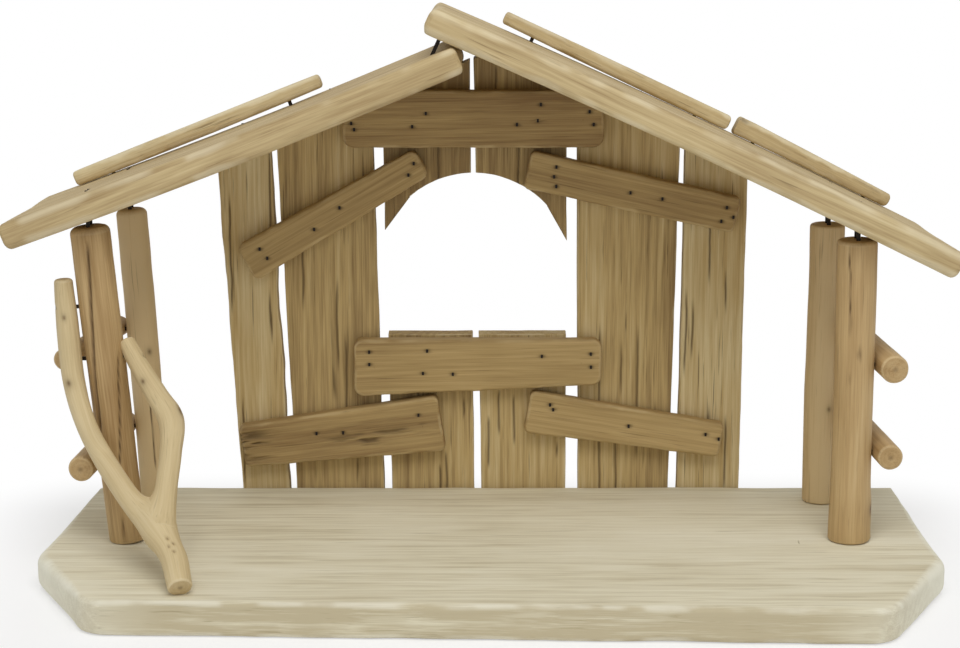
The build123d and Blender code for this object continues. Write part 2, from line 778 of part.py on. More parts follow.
def post(name, room, cuts):
    """Peeled branch with its girth given at the foot, at both rails and at the head, its rim taken off."""
    x, y, lean, girths, low_height, high_height = posts[name]
    top = post_top(name)
    heights = (base_thickness, low_height, high_height, top - post_rim, top)
    with BuildPart() as branch:
        for height, girth in zip(heights, girths + (girths[-1] - post_rim,)):
            with BuildSketch(Plane(origin=post_at(name, height))):
                RegularPolygon(girth + room, branch_sides)
        loft(ruled=True)
        cut_all(cuts)
    return branch


post_cuts = [left_space, right_space, holes["roof_nails"], holes["base_nails"], holes["rail_brads"],
             holes["branch_brads"]]
for name in posts:
    pieces[name] = post(name, 0, post_cuts)

# Side rails

def rail(name, start_depth):
    """Straight peeled stick past its two posts, from a depth ahead to a little behind."""
    front, rear = rail_line(name)
    radius = rails[name][4]
    run = (rear - front) / (rear.Y - front.Y)
    start = front + run * (start_depth - front.Y)
    end = rear + run * rail_back
    way = (end - start).normalized()
    rim = way * rail_rim
    with BuildPart() as stick:
        for place, room in ((start, rail_rim), (start + rim, 0), (end - rim, 0), (end, rail_rim)):
            with BuildSketch(Plane(origin=place, z_dir=way)):
                RegularPolygon(radius - room, branch_sides)
        loft(ruled=True)
        cut_all([holes["rail_brads"]])
    return stick


(below, below_girth), (above, above_girth) = arm_stations[-3:-1]
arm_share = (left_high_rail_height - below.Z) / (above.Z - below.Z)
arm_back = below.Y + (above.Y - below.Y) * arm_share + max(below_girth, above_girth)
rail_starts = {
    "side_rail_left_lower": front_left_y - left_low_rail_front,
    "side_rail_left_upper": arm_back + left_high_rail_gap,
    "side_rail_right_lower": front_right_y - right_low_rail_front,
    "side_rail_right_upper": front_right_y - right_high_rail_front,
}
for name, start_depth in rail_starts.items():
    pieces[name] = rail(name, start_depth)

# Forked branch

def limb(stations):
    """Branch along a smooth line through a row of middles, each many-sided ring square to the line."""
    with BuildLine():
        middle = Spline(*[place for place, girth in stations])
    with BuildPart() as branch:
        for place, girth in stations:
            way = middle.tangent_at(place)
            with BuildSketch(Plane(origin=place, x_dir=Vector(1, 0, 0) - way * way.X, z_dir=way)):
                RegularPolygon(girth, branch_sides)
        loft(ruled=True)
    return branch.part


post_room = post("front_post_left", branch_clearance, []).part
with BuildPart() as forked_branch:
    add(limb(arm_stations))
    add(limb(limb_stations))
    split(bisect_by=Plane.XY.offset(base_thickness), keep=Keep.TOP)
    cut_all([post_room, holes["branch_brads"]])
pieces["forked_branch"] = forked_branch

os.makedirs("parts", exist_ok=True)
for name, piece in pieces.items():
    piece.part.label = name
    export_step(piece.part, f"parts/{name}.step")
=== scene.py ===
# A rustic nativity stable: sawn boards, peeled branches and wire brads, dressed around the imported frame.
import math

import bpy
import numpy as np
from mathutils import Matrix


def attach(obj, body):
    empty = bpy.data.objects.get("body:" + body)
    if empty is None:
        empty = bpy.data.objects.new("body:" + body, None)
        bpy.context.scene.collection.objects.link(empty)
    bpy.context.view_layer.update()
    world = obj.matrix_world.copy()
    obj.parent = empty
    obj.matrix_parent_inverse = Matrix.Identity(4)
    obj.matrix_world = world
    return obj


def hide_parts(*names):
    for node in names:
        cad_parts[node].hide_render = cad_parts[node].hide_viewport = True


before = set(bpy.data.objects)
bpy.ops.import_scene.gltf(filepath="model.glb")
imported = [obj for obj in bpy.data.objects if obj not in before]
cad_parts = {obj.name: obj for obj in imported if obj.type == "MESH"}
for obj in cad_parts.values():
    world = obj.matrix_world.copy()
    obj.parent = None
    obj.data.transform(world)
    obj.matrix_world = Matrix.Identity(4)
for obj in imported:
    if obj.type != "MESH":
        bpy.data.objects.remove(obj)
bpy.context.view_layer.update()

MM = 0.001
X, Y, Z = np.eye(3)

# Camera at the photograph's place: metres in the part's frame, pitch in degrees, lens in millimetres
CAMERA_PLACE = (-0.0054, -1.2079, 0.4215)
CAMERA_PITCH = 13.03
CAMERA_LENS = 86.55
SENSOR_WIDTH = 36.0

# Each brad or nail is a pin of 24 vertices, with ends in small pits that are felt four reaches away;
# the wood in a pit is darkened by painted shade
FASTENERS = ("batten_brads", "wall_nails", "roof_nails", "ridge_nails", "lath_brads", "rail_brads",
             "branch_brads", "base_nails")
PIN_VERTICES = 24
PIT_DEPTH = 0.8 * MM
PIT_REACH = np.array([1.9, 1.15, 1.0]) * MM
PIT_SIGHT = 4
# How far painted shade darkens the wood in a pit
PIT_SHADE = 0.8

# Noise: points along a side of its lattice, and layers of it in rough wood
LATTICE = 61
LAYERS = 3

SQUARE_ON = 0.9  # least cosine between a face's normal and the direction that the face looks to
CUT_SHARE = 0.3  # how far end grain goes to its own colour


def unit(way):
    """A direction at length one."""
    way = np.asarray(way, float)
    return way / np.linalg.norm(way, axis=-1, keepdims=True)


def cad_points(node):
    """Places and facings of a CAD node's vertices."""
    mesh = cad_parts[node].data
    places = np.empty(len(mesh.vertices) * 3)
    facings = np.empty(len(mesh.vertices) * 3)
    mesh.vertices.foreach_get("co", places)
    mesh.vertices.foreach_get("normal", facings)
    return places.reshape(-1, 3), facings.reshape(-1, 3)


def smooth_step(value, low, high):
    """Ramp from 0 at low to 1 at high with level ends."""
    share = np.clip((value - low) / (high - low), 0, 1)
    return share * share * (3 - 2 * share)


def noise(x, y, seed):
    """Random heights on a unit lattice, from -1 to 1, blended between its points by a smooth step."""
    lattice = np.random.default_rng(seed).uniform(-1, 1, (LATTICE, LATTICE))
    cell_x, cell_y = np.floor(x).astype(int), np.floor(y).astype(int)
    share_x, share_y = smooth_step(x - cell_x, 0, 1), smooth_step(y - cell_y, 0, 1)
    left, right = cell_x % LATTICE, (cell_x + 1) % LATTICE
    near, far = cell_y % LATTICE, (cell_y + 1) % LATTICE
    near_height = lattice[left, near] * (1 - share_x) + lattice[right, near] * share_x
    far_height = lattice[left, far] * (1 - share_x) + lattice[right, far] * share_x
    return near_height * (1 - share_y) + far_height * share_y


def rough(x, y, seed):
    """Layers of noise, each twice as fine and half as strong as the one before, brought back to -1 to 1."""
    layers = [noise(2 ** layer * x, 2 ** layer * y, seed + layer) / 2 ** layer for layer in range(LAYERS)]
    return sum(layers) / sum(0.5 ** layer for layer in range(LAYERS))


def way_along(points):
    """Length of the way along a row of points, at each of them."""
    return np.append(0, np.cumsum(np.linalg.norm(np.diff(points, axis=0), axis=1)))


def pin_ends():
    """Middles of both ends of every brad and nail: half a pin's length each way along its longest axis."""
    ends = []
    for node in FASTENERS:
        pins = cad_points(node)[0].reshape(-1, PIN_VERTICES, 3)
        middles = pins.mean(axis=1)
        spread = pins - middles[:, None]
        axes = np.linalg.svd(spread, full_matrices=False)[2][:, 0]
        half = np.abs(np.einsum("pvi,pi->pv", spread, axes)).max(axis=1)
        ends += [middles + axes * half[:, None], middles - axes * half[:, None]]
    return np.concatenate(ends)


PINS = pin_ends()


def pits(points):
    """How deep the wood is pressed in around each brad: a bell-shaped hollow round its nearest end,
    longest across the view, since a flat brad tears the wood along the grain of a batten."""
    flat = points.reshape(-1, 3)
    low, high = flat.min(axis=0) - PIT_SIGHT * PIT_REACH, flat.max(axis=0) + PIT_SIGHT * PIT_REACH
    near = PINS[np.all((PINS > low) & (PINS < high), axis=1)]
    depth = np.zeros(len(flat))
    for pin in near:
        depth = np.maximum(depth, np.exp(-np.sum(((flat - pin) / PIT_REACH) ** 2, axis=1)))
    return depth.reshape(points.shape[:-1])


def closed_mesh(name, points, marks):
    """Mesh of a grid of rings: quads between neighbouring rings, and the first and last ring zipped shut by
    quads from each point to the one facing it. The marks of the wood ride along as attributes."""
    rows, cols = points.shape[:2]
    index = np.arange(rows * cols).reshape(rows, cols)
    turned = np.roll(index, -1, axis=1)
    walls = np.stack([index[:-1], turned[:-1], turned[1:], index[1:]], axis=-1).reshape(-1, 4)
    half = cols // 2
    left = np.arange(1, half - 1)
    zips = []
    ends = []
    for ring, way in ((index[0], -1), (index[-1], 1)):
        strip = np.stack([ring[left], ring[left + 1], ring[cols - left - 1], ring[cols - left]], axis=-1)
        tips = np.array([[ring[0], ring[1], ring[-1]], [ring[half - 1], ring[half], ring[half + 1]]])
        zips.append(strip[:, ::way])
        ends.append(tips[:, ::way])
    quads = np.concatenate([walls] + zips)
    tips = np.concatenate(ends)
    corners = np.concatenate([quads.ravel(), tips.ravel()])
    starts = np.concatenate([np.arange(len(quads)) * 4, len(quads) * 4 + np.arange(len(tips)) * 3])
    mesh = bpy.data.meshes.new(name)
    mesh.vertices.add(rows * cols)
    mesh.vertices.foreach_set("co", points.astype(np.float32).ravel())
    mesh.loops.add(len(corners))
    mesh.loops.foreach_set("vertex_index", corners.astype(np.int32))
    mesh.polygons.add(len(starts))
    mesh.polygons.foreach_set("loop_start", starts.astype(np.int32))
    mesh.update(calc_edges=True)
    mesh.validate()
    mesh.shade_smooth()
    for label, values in marks.items():
        vector = values.ndim == 3
        layer = mesh.attributes.new(label, "FLOAT_VECTOR" if vector else "FLOAT", "POINT")
        layer.data.foreach_set("vector" if vector else "value", values.astype(np.float32).ravel())
    return mesh


def wooden_piece(node, slot, material, points, marks, label=""):
    """A finished wooden piece that stays in its node's box, rides on the frame and stands for the node."""
    places = cad_points(node)[0]
    points = np.clip(points, places.min(axis=0), places.max(axis=0))
    name = node + "_wood" + label
    piece = bpy.data.objects.new(name, closed_mesh(name, points, marks))
    bpy.context.scene.collection.objects.link(piece)
    piece.data.materials.append(material)
    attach(piece, "root")
    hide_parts(node)


# Slabs: boards, battens, planks, laths and the base

OUTLINE_TURNS = 1440  # directions in which a slab's outline is felt for
OUTLINE_FINENESS = 20  # points of the first, fine outline for each point of the last one
FACE_SLACKS = (8 * MM, 3 * MM, 1 * MM)  # how far inside its fitted line a vertex may lie, fit by fit
# The spine stops short of both ends by the lesser of these shares of half the width and of the length
SPINE_WIDTH_SHARE, SPINE_LENGTH_SHARE = 0.75, 0.42
SPINE_START = 0.05  # share of the way to the rim at which the face's first row lies
ROUND_STEPS = 6  # rows of points on a rounded edge
# How much a rounded edge changes along the outline, and the radius of its noise in cells
ROUND_CHANGE, ROUND_CELLS = 0.45, 6
# Cells of wear, along the grain, across it and into the wood
WAVE_CELL, WAVE_CELL_ACROSS, WAVE_CELL_INTO = 55 * MM, 22 * MM, 30 * MM
GROOVE_CELL = 70 * MM
CRACK_CELL, CRACK_WANDER = 24 * MM, 0.4 * MM
TORN_CELL, TORN_CELL_ACROSS = 16 * MM, 1.7 * MM
RUB_CELL, RUB_CELL_ACROSS = 18 * MM, 9 * MM
CRACK_RUN_OUT = 0.06  # share of a board's length over which a crack runs out
CRACK_SHADE = 0.85
TORN_LEAST, TORN_MOST = 0.25, 0.75  # depth of a scar outside its torn streaks, and what the streaks add
TORN_SHADE = 0.15  # shade of a scar outside its torn streaks
# Heights of the noise between which torn streaks and rubbed places set in
TORN_RAMP, RUB_RAMP = (-0.1, 0.5), (-0.35, 0.3)
FRONT_FACING = 0.3  # cosine above which a row still belongs to the front face
# Added to a slab's seed for each kind of wear, and shifts of the noise along its outline
WAVES, GROOVES, ROUNDS, CRACKS, TEARS, RUBS = 3, 5, 7, 11, 13, 17
WEAR_SHIFT, ROUND_SHIFT = 20, 40
# Where the pith of the tree lay beside a slab, in metres: nearest and farthest across and into the wood
PITH_ACROSS, PITH_INTO = (0.03, 0.07), (0.02, 0.04)


def spaced(corners, count):
    """Points an equal way apart on the closed line through the corners, from the first corner on."""
    closed = np.concatenate([corners, corners[:1]])
    run = way_along(closed)
    even = np.linspace(0, run[-1], count + 1)[:-1]
    return np.stack([np.interp(even, run, closed[:, i]) for i in range(2)], axis=1)


def outline_of(s, a, count, low_edge):
    """Outline of a slab seen square on, as count points an equal way apart, from the middle of its low end:
    for every direction the farthest vertex, joined by straight lines. A low edge lifts what is below it."""
    turns = np.linspace(0, 2 * np.pi, OUTLINE_TURNS, endpoint=False)
    farthest = np.argmax(np.outer(np.cos(turns), s) + np.outer(np.sin(turns), a), axis=1)
    corners = farthest[np.append(True, farthest[1:] != farthest[:-1])]
    dense = spaced(np.stack([s[corners], a[corners]], axis=1), OUTLINE_FINENESS * count)
    if low_edge is not None:
        dense[:, 0] = np.maximum(dense[:, 0], low_edge(dense[:, 1]))
    middle = (a.min() + a.max()) / 2
    first = np.argmin((dense[:, 0] - s.min()) ** 2 + (dense[:, 1] - middle) ** 2)
    return spaced(np.roll(dense, -first, axis=0), count)


def face_line(s, n, keep, bend, side):
    """Height of a slab's face along its length: level, or a line or bow through the vertices of that face,
    fitted again and again without those that lie inside the wood, on the bottoms of holes."""
    if bend == 0:
        return np.array([side * np.max(side * n[keep])])
    for slack in FACE_SLACKS:
        line = np.polyfit(s[keep], n[keep], bend)
        keep = keep & (side * (n - np.polyval(line, s)) > -slack)
    return np.polyfit(s[keep], n[keep], bend)


def spine_of(rim):
    """Nearest points, to those of a rim, of the line along a slab's middle that stops short of both ends."""
    inset = min(SPINE_WIDTH_SHARE * np.ptp(rim[:, 1]) / 2, SPINE_LENGTH_SHARE * np.ptp(rim[:, 0]))
    stops = rim[:, 0].min() + inset, rim[:, 0].max() - inset
    beside = [rim[np.abs(rim[:, 0] - stop) < inset / 2, 1] for stop in stops]
    mids = [(side.min() + side.max()) / 2 for side in beside]
    along = np.clip(rim[:, 0], *stops)
    return np.stack([along, np.interp(along, stops, mids)], axis=1)


def slab_profile(face_rows, side_rows, back_rows):
    """Rows of a slab's edge profile: share of the way from the spine to the rim, outward and down shares of
    both quarter rounds, share of the side, and the facing as an angle from the face's normal."""
    turn = np.linspace(0, np.pi / 2, ROUND_STEPS)[1:]
    face = np.linspace(SPINE_START, 1, face_rows)
    side = np.linspace(0, 1, side_rows)[1:]
    back = np.linspace(1, SPINE_START, back_rows)[1:]
    none, full = np.zeros, np.ones
    reach = np.concatenate([face, full(len(turn) * 2 + len(side)), back])
    outward = np.concatenate([none(len(face)), np.sin(turn), full(len(side)), np.cos(turn), none(len(back))])
    upper = np.concatenate([none(len(face)), 1 - np.cos(turn), full(len(side) + len(turn) + len(back))])
    middle = np.concatenate([none(len(face) + len(turn)), side, full(len(turn) + len(back))])
    lower = np.concatenate([none(len(face) + len(turn) + len(side)), np.sin(turn), full(len(back))])
    angle = np.concatenate([none(len(face)), turn, full(len(side)) * np.pi / 2, np.pi / 2 + turn,
                            full(len(back)) * np.pi])
    return reach, outward, upper, middle, lower, angle


def run_out(share, first, last, over):
    """1 between two shares of a length, falling to 0 over a short way inside both of them."""
    return smooth_step(share, first, first + over) * (1 - smooth_step(share, last - over, last))


def split_and_torn(plan_s, plan_a, share_s, share_a, width, in_front, cracks, scars, seed):
    """Hollows and shades of cracks and scars on a slab's face. A crack is a bell-shaped groove along a
    wavering line, with ends that run out; a scar is a bell-shaped spot, deep where rough streaks along the
    grain tear it."""
    press, shade = np.zeros_like(plan_s), np.zeros_like(plan_s)
    for first, last, from_side, gap, deep in cracks:
        line = from_side + 2 * CRACK_WANDER / width * rough(plan_s / CRACK_CELL, plan_s * 0, seed + CRACKS)
        run = run_out(share_s, first, last, CRACK_RUN_OUT)
        split = np.exp(-((share_a - line) * width / gap) ** 2) * run * in_front
        press = press + deep * split
        shade = np.maximum(shade, CRACK_SHADE * split)
    for place, from_side, reach_s, reach_a, deep in scars:
        spot = np.exp(-((share_s - place) / reach_s) ** 2 - ((share_a - from_side) / reach_a) ** 2)
        spot = spot * in_front
        streaks = rough(plan_s / TORN_CELL, plan_a / TORN_CELL_ACROSS, seed + TEARS)
        torn = TORN_MOST * smooth_step(streaks, *TORN_RAMP)
        press = press + deep * spot * (TORN_LEAST + torn)
        shade = np.maximum(shade, spot * (TORN_SHADE + torn))
    return press, shade


def slab(node, along, across, seed, around, face_rows, side_rows, back_rows, edge, edge_wear, wear_cell,
         wave, groove, groove_pitch, rub, end_edge=None, bend=0, low_edge=None, cracks=(), scars=(),
         tone=0.0, trims=(0, 0), pit_depth=PIT_DEPTH, cut_share=CUT_SHARE, side_tone=0.0):
    """Closed slab S(u, v) = spine + (rim - spine) * reach(v) + edge round: u runs round the outline, v over
    the edge profile from the spine line on the face to the one on the back. The surface is then pressed in
    by waves, by grooves along the grain, by cracks, by rough scars and by the pits of the brads."""
    along, across = unit(along), unit(across)
    normal = np.cross(along, across)
    places, facings = cad_points(node)
    s, a, n = places @ along, places @ across, places @ normal
    up = facings @ normal
    top = face_line(s, n, up > SQUARE_ON, bend, 1)
    under = face_line(s, n, up < -SQUARE_ON, bend, -1)
    rim = outline_of(s, a, around, low_edge)
    rim[:, 0] = np.clip(rim[:, 0], rim[:, 0].min() + trims[0], rim[:, 0].max() - trims[1])
    length, width = np.ptp(rim, axis=0)
    spine = spine_of(rim)
    out = unit(rim - spine)
    walk = np.linspace(0, 2 * np.pi, around, endpoint=False)
    circle = np.stack([np.cos(walk), np.sin(walk)])
    cells = way_along(rim)[-1] / (2 * np.pi * wear_cell)
    worn = edge_wear * (0.5 + 0.5 * rough(*(circle * cells + WEAR_SHIFT), seed))
    rim = rim - out * worn[:, None]
    ends = out[:, 0] ** 2
    round_off = edge + ((end_edge or edge) - edge) * ends
    uneven = ROUND_CHANGE * rough(*(circle * ROUND_CELLS + ROUND_SHIFT), seed + ROUNDS)
    round_off = round_off * (1 + uneven * (1 - ends))
    reach, outward, upper, middle, lower, angle = slab_profile(face_rows, side_rows, back_rows)
    inner = rim - out * round_off[:, None]
    plan = (spine + (inner - spine) * reach[:, None, None]
            + out * (round_off * outward[:, None])[..., None])
    plan_s, plan_a = plan[..., 0], plan[..., 1]
    high, low = np.polyval(top, plan_s), np.polyval(under, plan_s)
    depth = high - round_off * (upper + lower)[:, None] - (high - low - 2 * round_off) * middle[:, None]
    facing = (np.cos(angle)[:, None, None] * normal
              + np.sin(angle)[:, None, None] * (out[:, :1] * along + out[:, 1:] * across))
    points = plan_s[..., None] * along + plan_a[..., None] * across + depth[..., None] * normal
    end_grain = np.abs(out[:, 0]) * np.sin(angle)[:, None]
    waves = rough(plan_s / WAVE_CELL, plan_a / WAVE_CELL_ACROSS + depth / WAVE_CELL_INTO, seed + WAVES)
    grooves = rough(plan_s / GROOVE_CELL, (plan_a + depth) / groove_pitch, seed + GROOVES)
    share_s = (plan_s - rim[:, 0].min()) / length
    share_a = (plan_a - rim[:, 1].min()) / width
    in_front = np.cos(angle)[:, None] > FRONT_FACING
    press, shade = split_and_torn(plan_s, plan_a, share_s, share_a, width, in_front, cracks, scars, seed)
    pit = pits(points)
    press = (press + wave * (0.5 + 0.5 * waves) + groove * (0.5 + 0.5 * grooves) * (1 - end_grain)
             + pit_depth * pit)
    # Painted shade in the pits round the brads
    shade = np.maximum(shade, PIT_SHADE * pit * pit_depth / PIT_DEPTH)
    points = points - facing * press[..., None]
    dice = np.random.default_rng(seed)
    drift = np.array([dice.uniform(-1, 1), dice.choice([-1, 1]) * dice.uniform(*PITH_ACROSS),
                      dice.uniform(*PITH_INTO)])
    core = np.array([0, (rim[:, 1].min() + rim[:, 1].max()) / 2, np.mean(depth)])
    grain = np.stack([plan_s, plan_a, depth], axis=-1) - core + drift
    corner = np.abs(np.sin(2 * angle))[:, None]
    rubs = rough(plan_s / RUB_CELL, plan_a / RUB_CELL_ACROSS, seed + RUBS)
    rubbed = rub * corner * smooth_step(rubs, *RUB_RAMP)
    # The tone attribute: the piece's own tone, plus painted shade that darkens the long sides, away from the
    # ends
    return points, {"grain": grain, "shade": shade, "cut": cut_share * end_grain, "rubbed": rubbed,
                    "tone": tone + side_tone * np.sin(angle)[:, None] * (1 - ends)}


# Branches: posts, rails and the fork

CAP_SHARES = np.array([0.1, 0.35, 0.6, 0.8, 0.92])  # rings on a cut end, as shares of its radius
RIM_STEPS = 8  # rings on the rounded rim of a cut end
RIM_CLEAR = 1.1  # in rims: how far from an end the first ring of the body lies
RIM_CUT = 0.6  # share of the rim's draw from which on a ring counts as end grain
RIM_RUB = 0.2
PITH_SHADE, PITH_REACH = 0.6, 1.0 * MM
# Cells of a branch's sway, swellings, ripples and cracks, and shifts of their noise
SWAY_CELL, SWELL_CELL, RIPPLE_CELL, WANDER_CELL = 45 * MM, 60 * MM, 14 * MM, 25 * MM
SWAY_SHIFTS, SWELL_SHIFT, RIPPLE_SHIFT = (3, 9, 15), 30, 20
SWAY_FADE = 20 * MM  # way from an end over which the sway sets in
SWELL_TURNS, RIPPLE_TURNS, RIPPLE_SHARE = 1.6, (3, 2), 0.2
# How far a branch's crack wavers, in radians, and the share of the length over which it runs out
CRACK_TURN, CRACK_END = 0.1, 0.05
# Reach of a knot along the branch, and of its heart along and round it, in knot sizes
KNOT_LONG, HEART_LONG, HEART_WIDE = 1.5, 0.6, 0.45
HEART_SINK = 0.6  # depth of the heart, as a share of the knot's lift
KNOT_SHADE, HEART_SHADE = 0.25, 0.6
SWAY, SWELLS, RIPPLES, SPLITS = 1, 3, 4, 9  # added to a branch's seed
# Farthest shift of the grain along a branch, and of the pith from its middle, in metres
BRANCH_DRIFT = np.array([1, 1.5 * MM, 1.5 * MM])


def curve_through(stations, count):
    """Smooth line through stations: between two of them a cubic whose slopes follow their neighbours."""
    stations = np.asarray(stations, float)
    ahead, behind = 2 * stations[:1] - stations[1:2], 2 * stations[-1:] - stations[-2:-1]
    padded = np.concatenate([ahead, stations, behind])
    run = np.linspace(0, len(stations) - 1, count)
    first = np.minimum(run.astype(int), len(stations) - 2)
    share = (run - first)[:, None]
    before, here, there, after = (padded[first + step] for step in range(4))
    return (here + share * (there - before) / 2
            + share ** 2 * (2 * before - 5 * here + 4 * there - after) / 2
            + share ** 3 * (3 * here - before - 3 * there + after) / 2)


def round_gap(angle, toward, radius):
    """Way round a branch from a direction, the short way."""
    return np.angle(np.exp(1j * (angle - toward))) * radius


def knotted_and_split(radius, base, far, length, angle, knots, cracks, seed):
    """Radius and shade of a branch with its knots and cracks. A knot is a bell-shaped swelling with a dark
    sunk heart; a crack is a bell-shaped groove that turns from one direction to another and runs out at
    both ends."""
    share = far / length
    shade = np.zeros_like(radius)
    for at, toward, size, lift in knots:
        off = round_gap(angle, math.radians(toward), base)
        past = far - at * length
        spot = np.exp(-(past / (KNOT_LONG * size)) ** 2 - (off / size) ** 2)
        heart = np.exp(-(past / (HEART_LONG * size)) ** 2 - (off / (HEART_WIDE * size)) ** 2)
        radius = radius + lift * spot - HEART_SINK * abs(lift) * heart
        shade = np.maximum(shade, KNOT_SHADE * spot + HEART_SHADE * heart)
    for start, end, toward_start, toward_end, width, deep in cracks:
        toward = toward_start + (toward_end - toward_start) * np.clip((share - start) / (end - start), 0, 1)
        toward = np.radians(toward) + CRACK_TURN * rough(far / WANDER_CELL, far * 0, seed + SPLITS)
        opened = run_out(share, start, end, CRACK_END)
        split = np.exp(-(round_gap(angle, toward, base) / width) ** 2) * opened
        radius = radius - deep * split
        shade = np.maximum(shade, split)
    return radius, shade


def branch(stations, girths, seed, rims, flute, around=72, rows=160, wander=0.4 * MM, knots=(), cracks=(),
           side=X, tone=0.0):
    """Closed branch S(t, f) = middle(t) + girth(t, f) * (cos f, sin f): rings square to a smooth line, their
    girth drawn in over a rounded rim to both cut ends, and changed by flutes, knots and cracks."""
    line = curve_through(stations, rows)
    girth = curve_through(np.asarray(girths, float)[:, None], rows)[:, 0]
    run = way_along(line)
    length = run[-1]
    sway = np.stack([rough(run / SWAY_CELL, run * 0 + shift, seed + SWAY) for shift in SWAY_SHIFTS], axis=1)
    line = line + wander * sway * smooth_step(np.minimum(run, length - run), 0, SWAY_FADE)[:, None]
    way = unit(np.gradient(line, axis=0))
    turn = np.linspace(0, np.pi / 2, RIM_STEPS)
    body = run[(run > RIM_CLEAR * rims[0]) & (run < length - RIM_CLEAR * rims[1])]
    ends = [np.concatenate([np.zeros(len(CAP_SHARES)), rim * (1 - np.cos(turn))]) for rim in rims]
    place = np.concatenate([ends[0], body, length - ends[1][::-1]])
    draws = [np.concatenate([np.full(len(CAP_SHARES), rim), rim * (1 - np.sin(turn))]) for rim in rims]
    drawn = np.concatenate([draws[0], np.zeros(len(body)), draws[1][::-1]])[:, None]
    rim = np.where(place < length / 2, rims[0], rims[1])[:, None]
    filled = np.concatenate([CAP_SHARES, np.ones(len(turn))])
    filled = np.concatenate([filled, np.ones(len(body)), filled[::-1]])[:, None]
    middle = np.stack([np.interp(place, run, line[:, i]) for i in range(3)], axis=1)
    tangent = unit(np.stack([np.interp(place, run, way[:, i]) for i in range(3)], axis=1))
    base = np.interp(place, run, girth)[:, None]
    first = unit(side - tangent * (tangent @ side)[:, None])
    second = np.cross(tangent, first)
    angle = np.linspace(0, 2 * np.pi, around, endpoint=False)
    ring_x, ring_y = np.cos(angle), np.sin(angle)
    far = place[:, None] + 0 * angle
    swell = rough(ring_x * SWELL_TURNS + SWELL_SHIFT + far / SWELL_CELL,
                  ring_y * SWELL_TURNS + SWELL_SHIFT + 0 * far, seed + SWELLS)
    round_ring = ring_x * RIPPLE_TURNS[0] + ring_y * RIPPLE_TURNS[1] + RIPPLE_SHIFT + 0 * far
    ripple = rough(far / RIPPLE_CELL, round_ring, seed + RIPPLES)
    radius = base * (1 + flute * (swell - 0.5) + RIPPLE_SHARE * flute * ripple)
    radius, shade = knotted_and_split(radius, base, far, length, angle, knots, cracks, seed)
    radius = (radius - drawn) * filled
    shade = np.maximum(shade, PITH_SHADE * np.exp(-(radius / PITH_REACH) ** 2))
    facing = ring_x[:, None] * first[:, None] + ring_y[:, None] * second[:, None]
    points = middle[:, None] + radius[..., None] * facing
    pit = pits(points) * (filled == 1)
    points = points - facing * (PIT_DEPTH * pit)[..., None]
    # Painted shade in the pits round the brads
    shade = np.maximum(shade, PIT_SHADE * pit)
    cut = CUT_SHARE * (drawn > RIM_CUT * rim) + 0 * radius
    rubbed = RIM_RUB * (drawn > 0) * (drawn <= RIM_CUT * rim) + 0 * radius
    drift = np.random.default_rng(seed).uniform(-1, 1, 3) * BRANCH_DRIFT
    grain = np.stack([far, radius * ring_x, radius * ring_y], axis=-1) + drift
    marks = {"grain": grain, "shade": shade, "cut": cut, "rubbed": rubbed, "tone": np.full_like(shade, tone)}
    return points[:, ::-1], {label: values[:, ::-1] for label, values in marks.items()}


# Materials

def linear(colour):
    """An sRGB hex colour as linear red, green, blue and alpha."""
    parts = [int(colour[i:i + 2], 16) / 255 for i in (1, 3, 5)]
    return [part / 12.92 if part <= 0.04045 else ((part + 0.055) / 1.055) ** 2.4 for part in parts] + [1.0]


def add(tree, kind, stops=(), **values):
    """One shader node. Each value goes to the property of that name, or else to the socket of that name,
    with spaces for underscores: a socket is linked, anything else is set. Stops fill a colour ramp."""
    node = tree.nodes.new(kind)
    for name in [name for name in values if hasattr(node, name)]:
        setattr(node, name, values.pop(name))
    sockets = {socket.identifier.replace(" ", "_"): socket for socket in node.inputs}
    for name, value in values.items():
        if isinstance(value, bpy.types.NodeSocket):
            tree.links.new(value, sockets[name])
        else:
            sockets[name].default_value = value
    for place, colour in stops[2:]:
        node.color_ramp.elements.new(place)
    for element, (place, colour) in zip(node.color_ramp.elements if stops else (), stops):
        element.position = place
        element.color = linear(colour)
    return node


# Grain patterns: length and width of a cell in millimetres, and levels of detail. Real fibres are far finer
# than a pixel, so they are drawn as wide as they need to show.
PATTERNS = {"warp": (170, 26, 2.0), "fibres": (34, 0.8, 3.0), "streaks": (120, 3.4, 3.0),
            "bands": (260, 17, 2.0), "clouds": (70, 45, 2.0), "checks": (42, 1.1, 2.0)}
PATTERN_ROUGHNESS = 0.58
# How much each pattern darkens the wood, and the mean of the pattern
TONES = {"ring": (0.2, 0.25), "fibres": (0.5, 0.5), "streaks": (0.5, 0.5), "bands": (0.5, 0.5),
         "clouds": (0.35, 0.5)}
PALE_TONE, DARK_TONE = -0.24, 0.26  # tones of the pale and the dark colour, from the middle one's
CHECK_START, CHECK_FULL = 0.64, 0.72  # heights of the pattern at which a check starts and is at its darkest
RING_WARP = 4  # how many rings the growth rings waver by
WOOD_IOR, WOOD_SPECULAR, BUMP_STRENGTH = 1.5, 0.3, 0.6


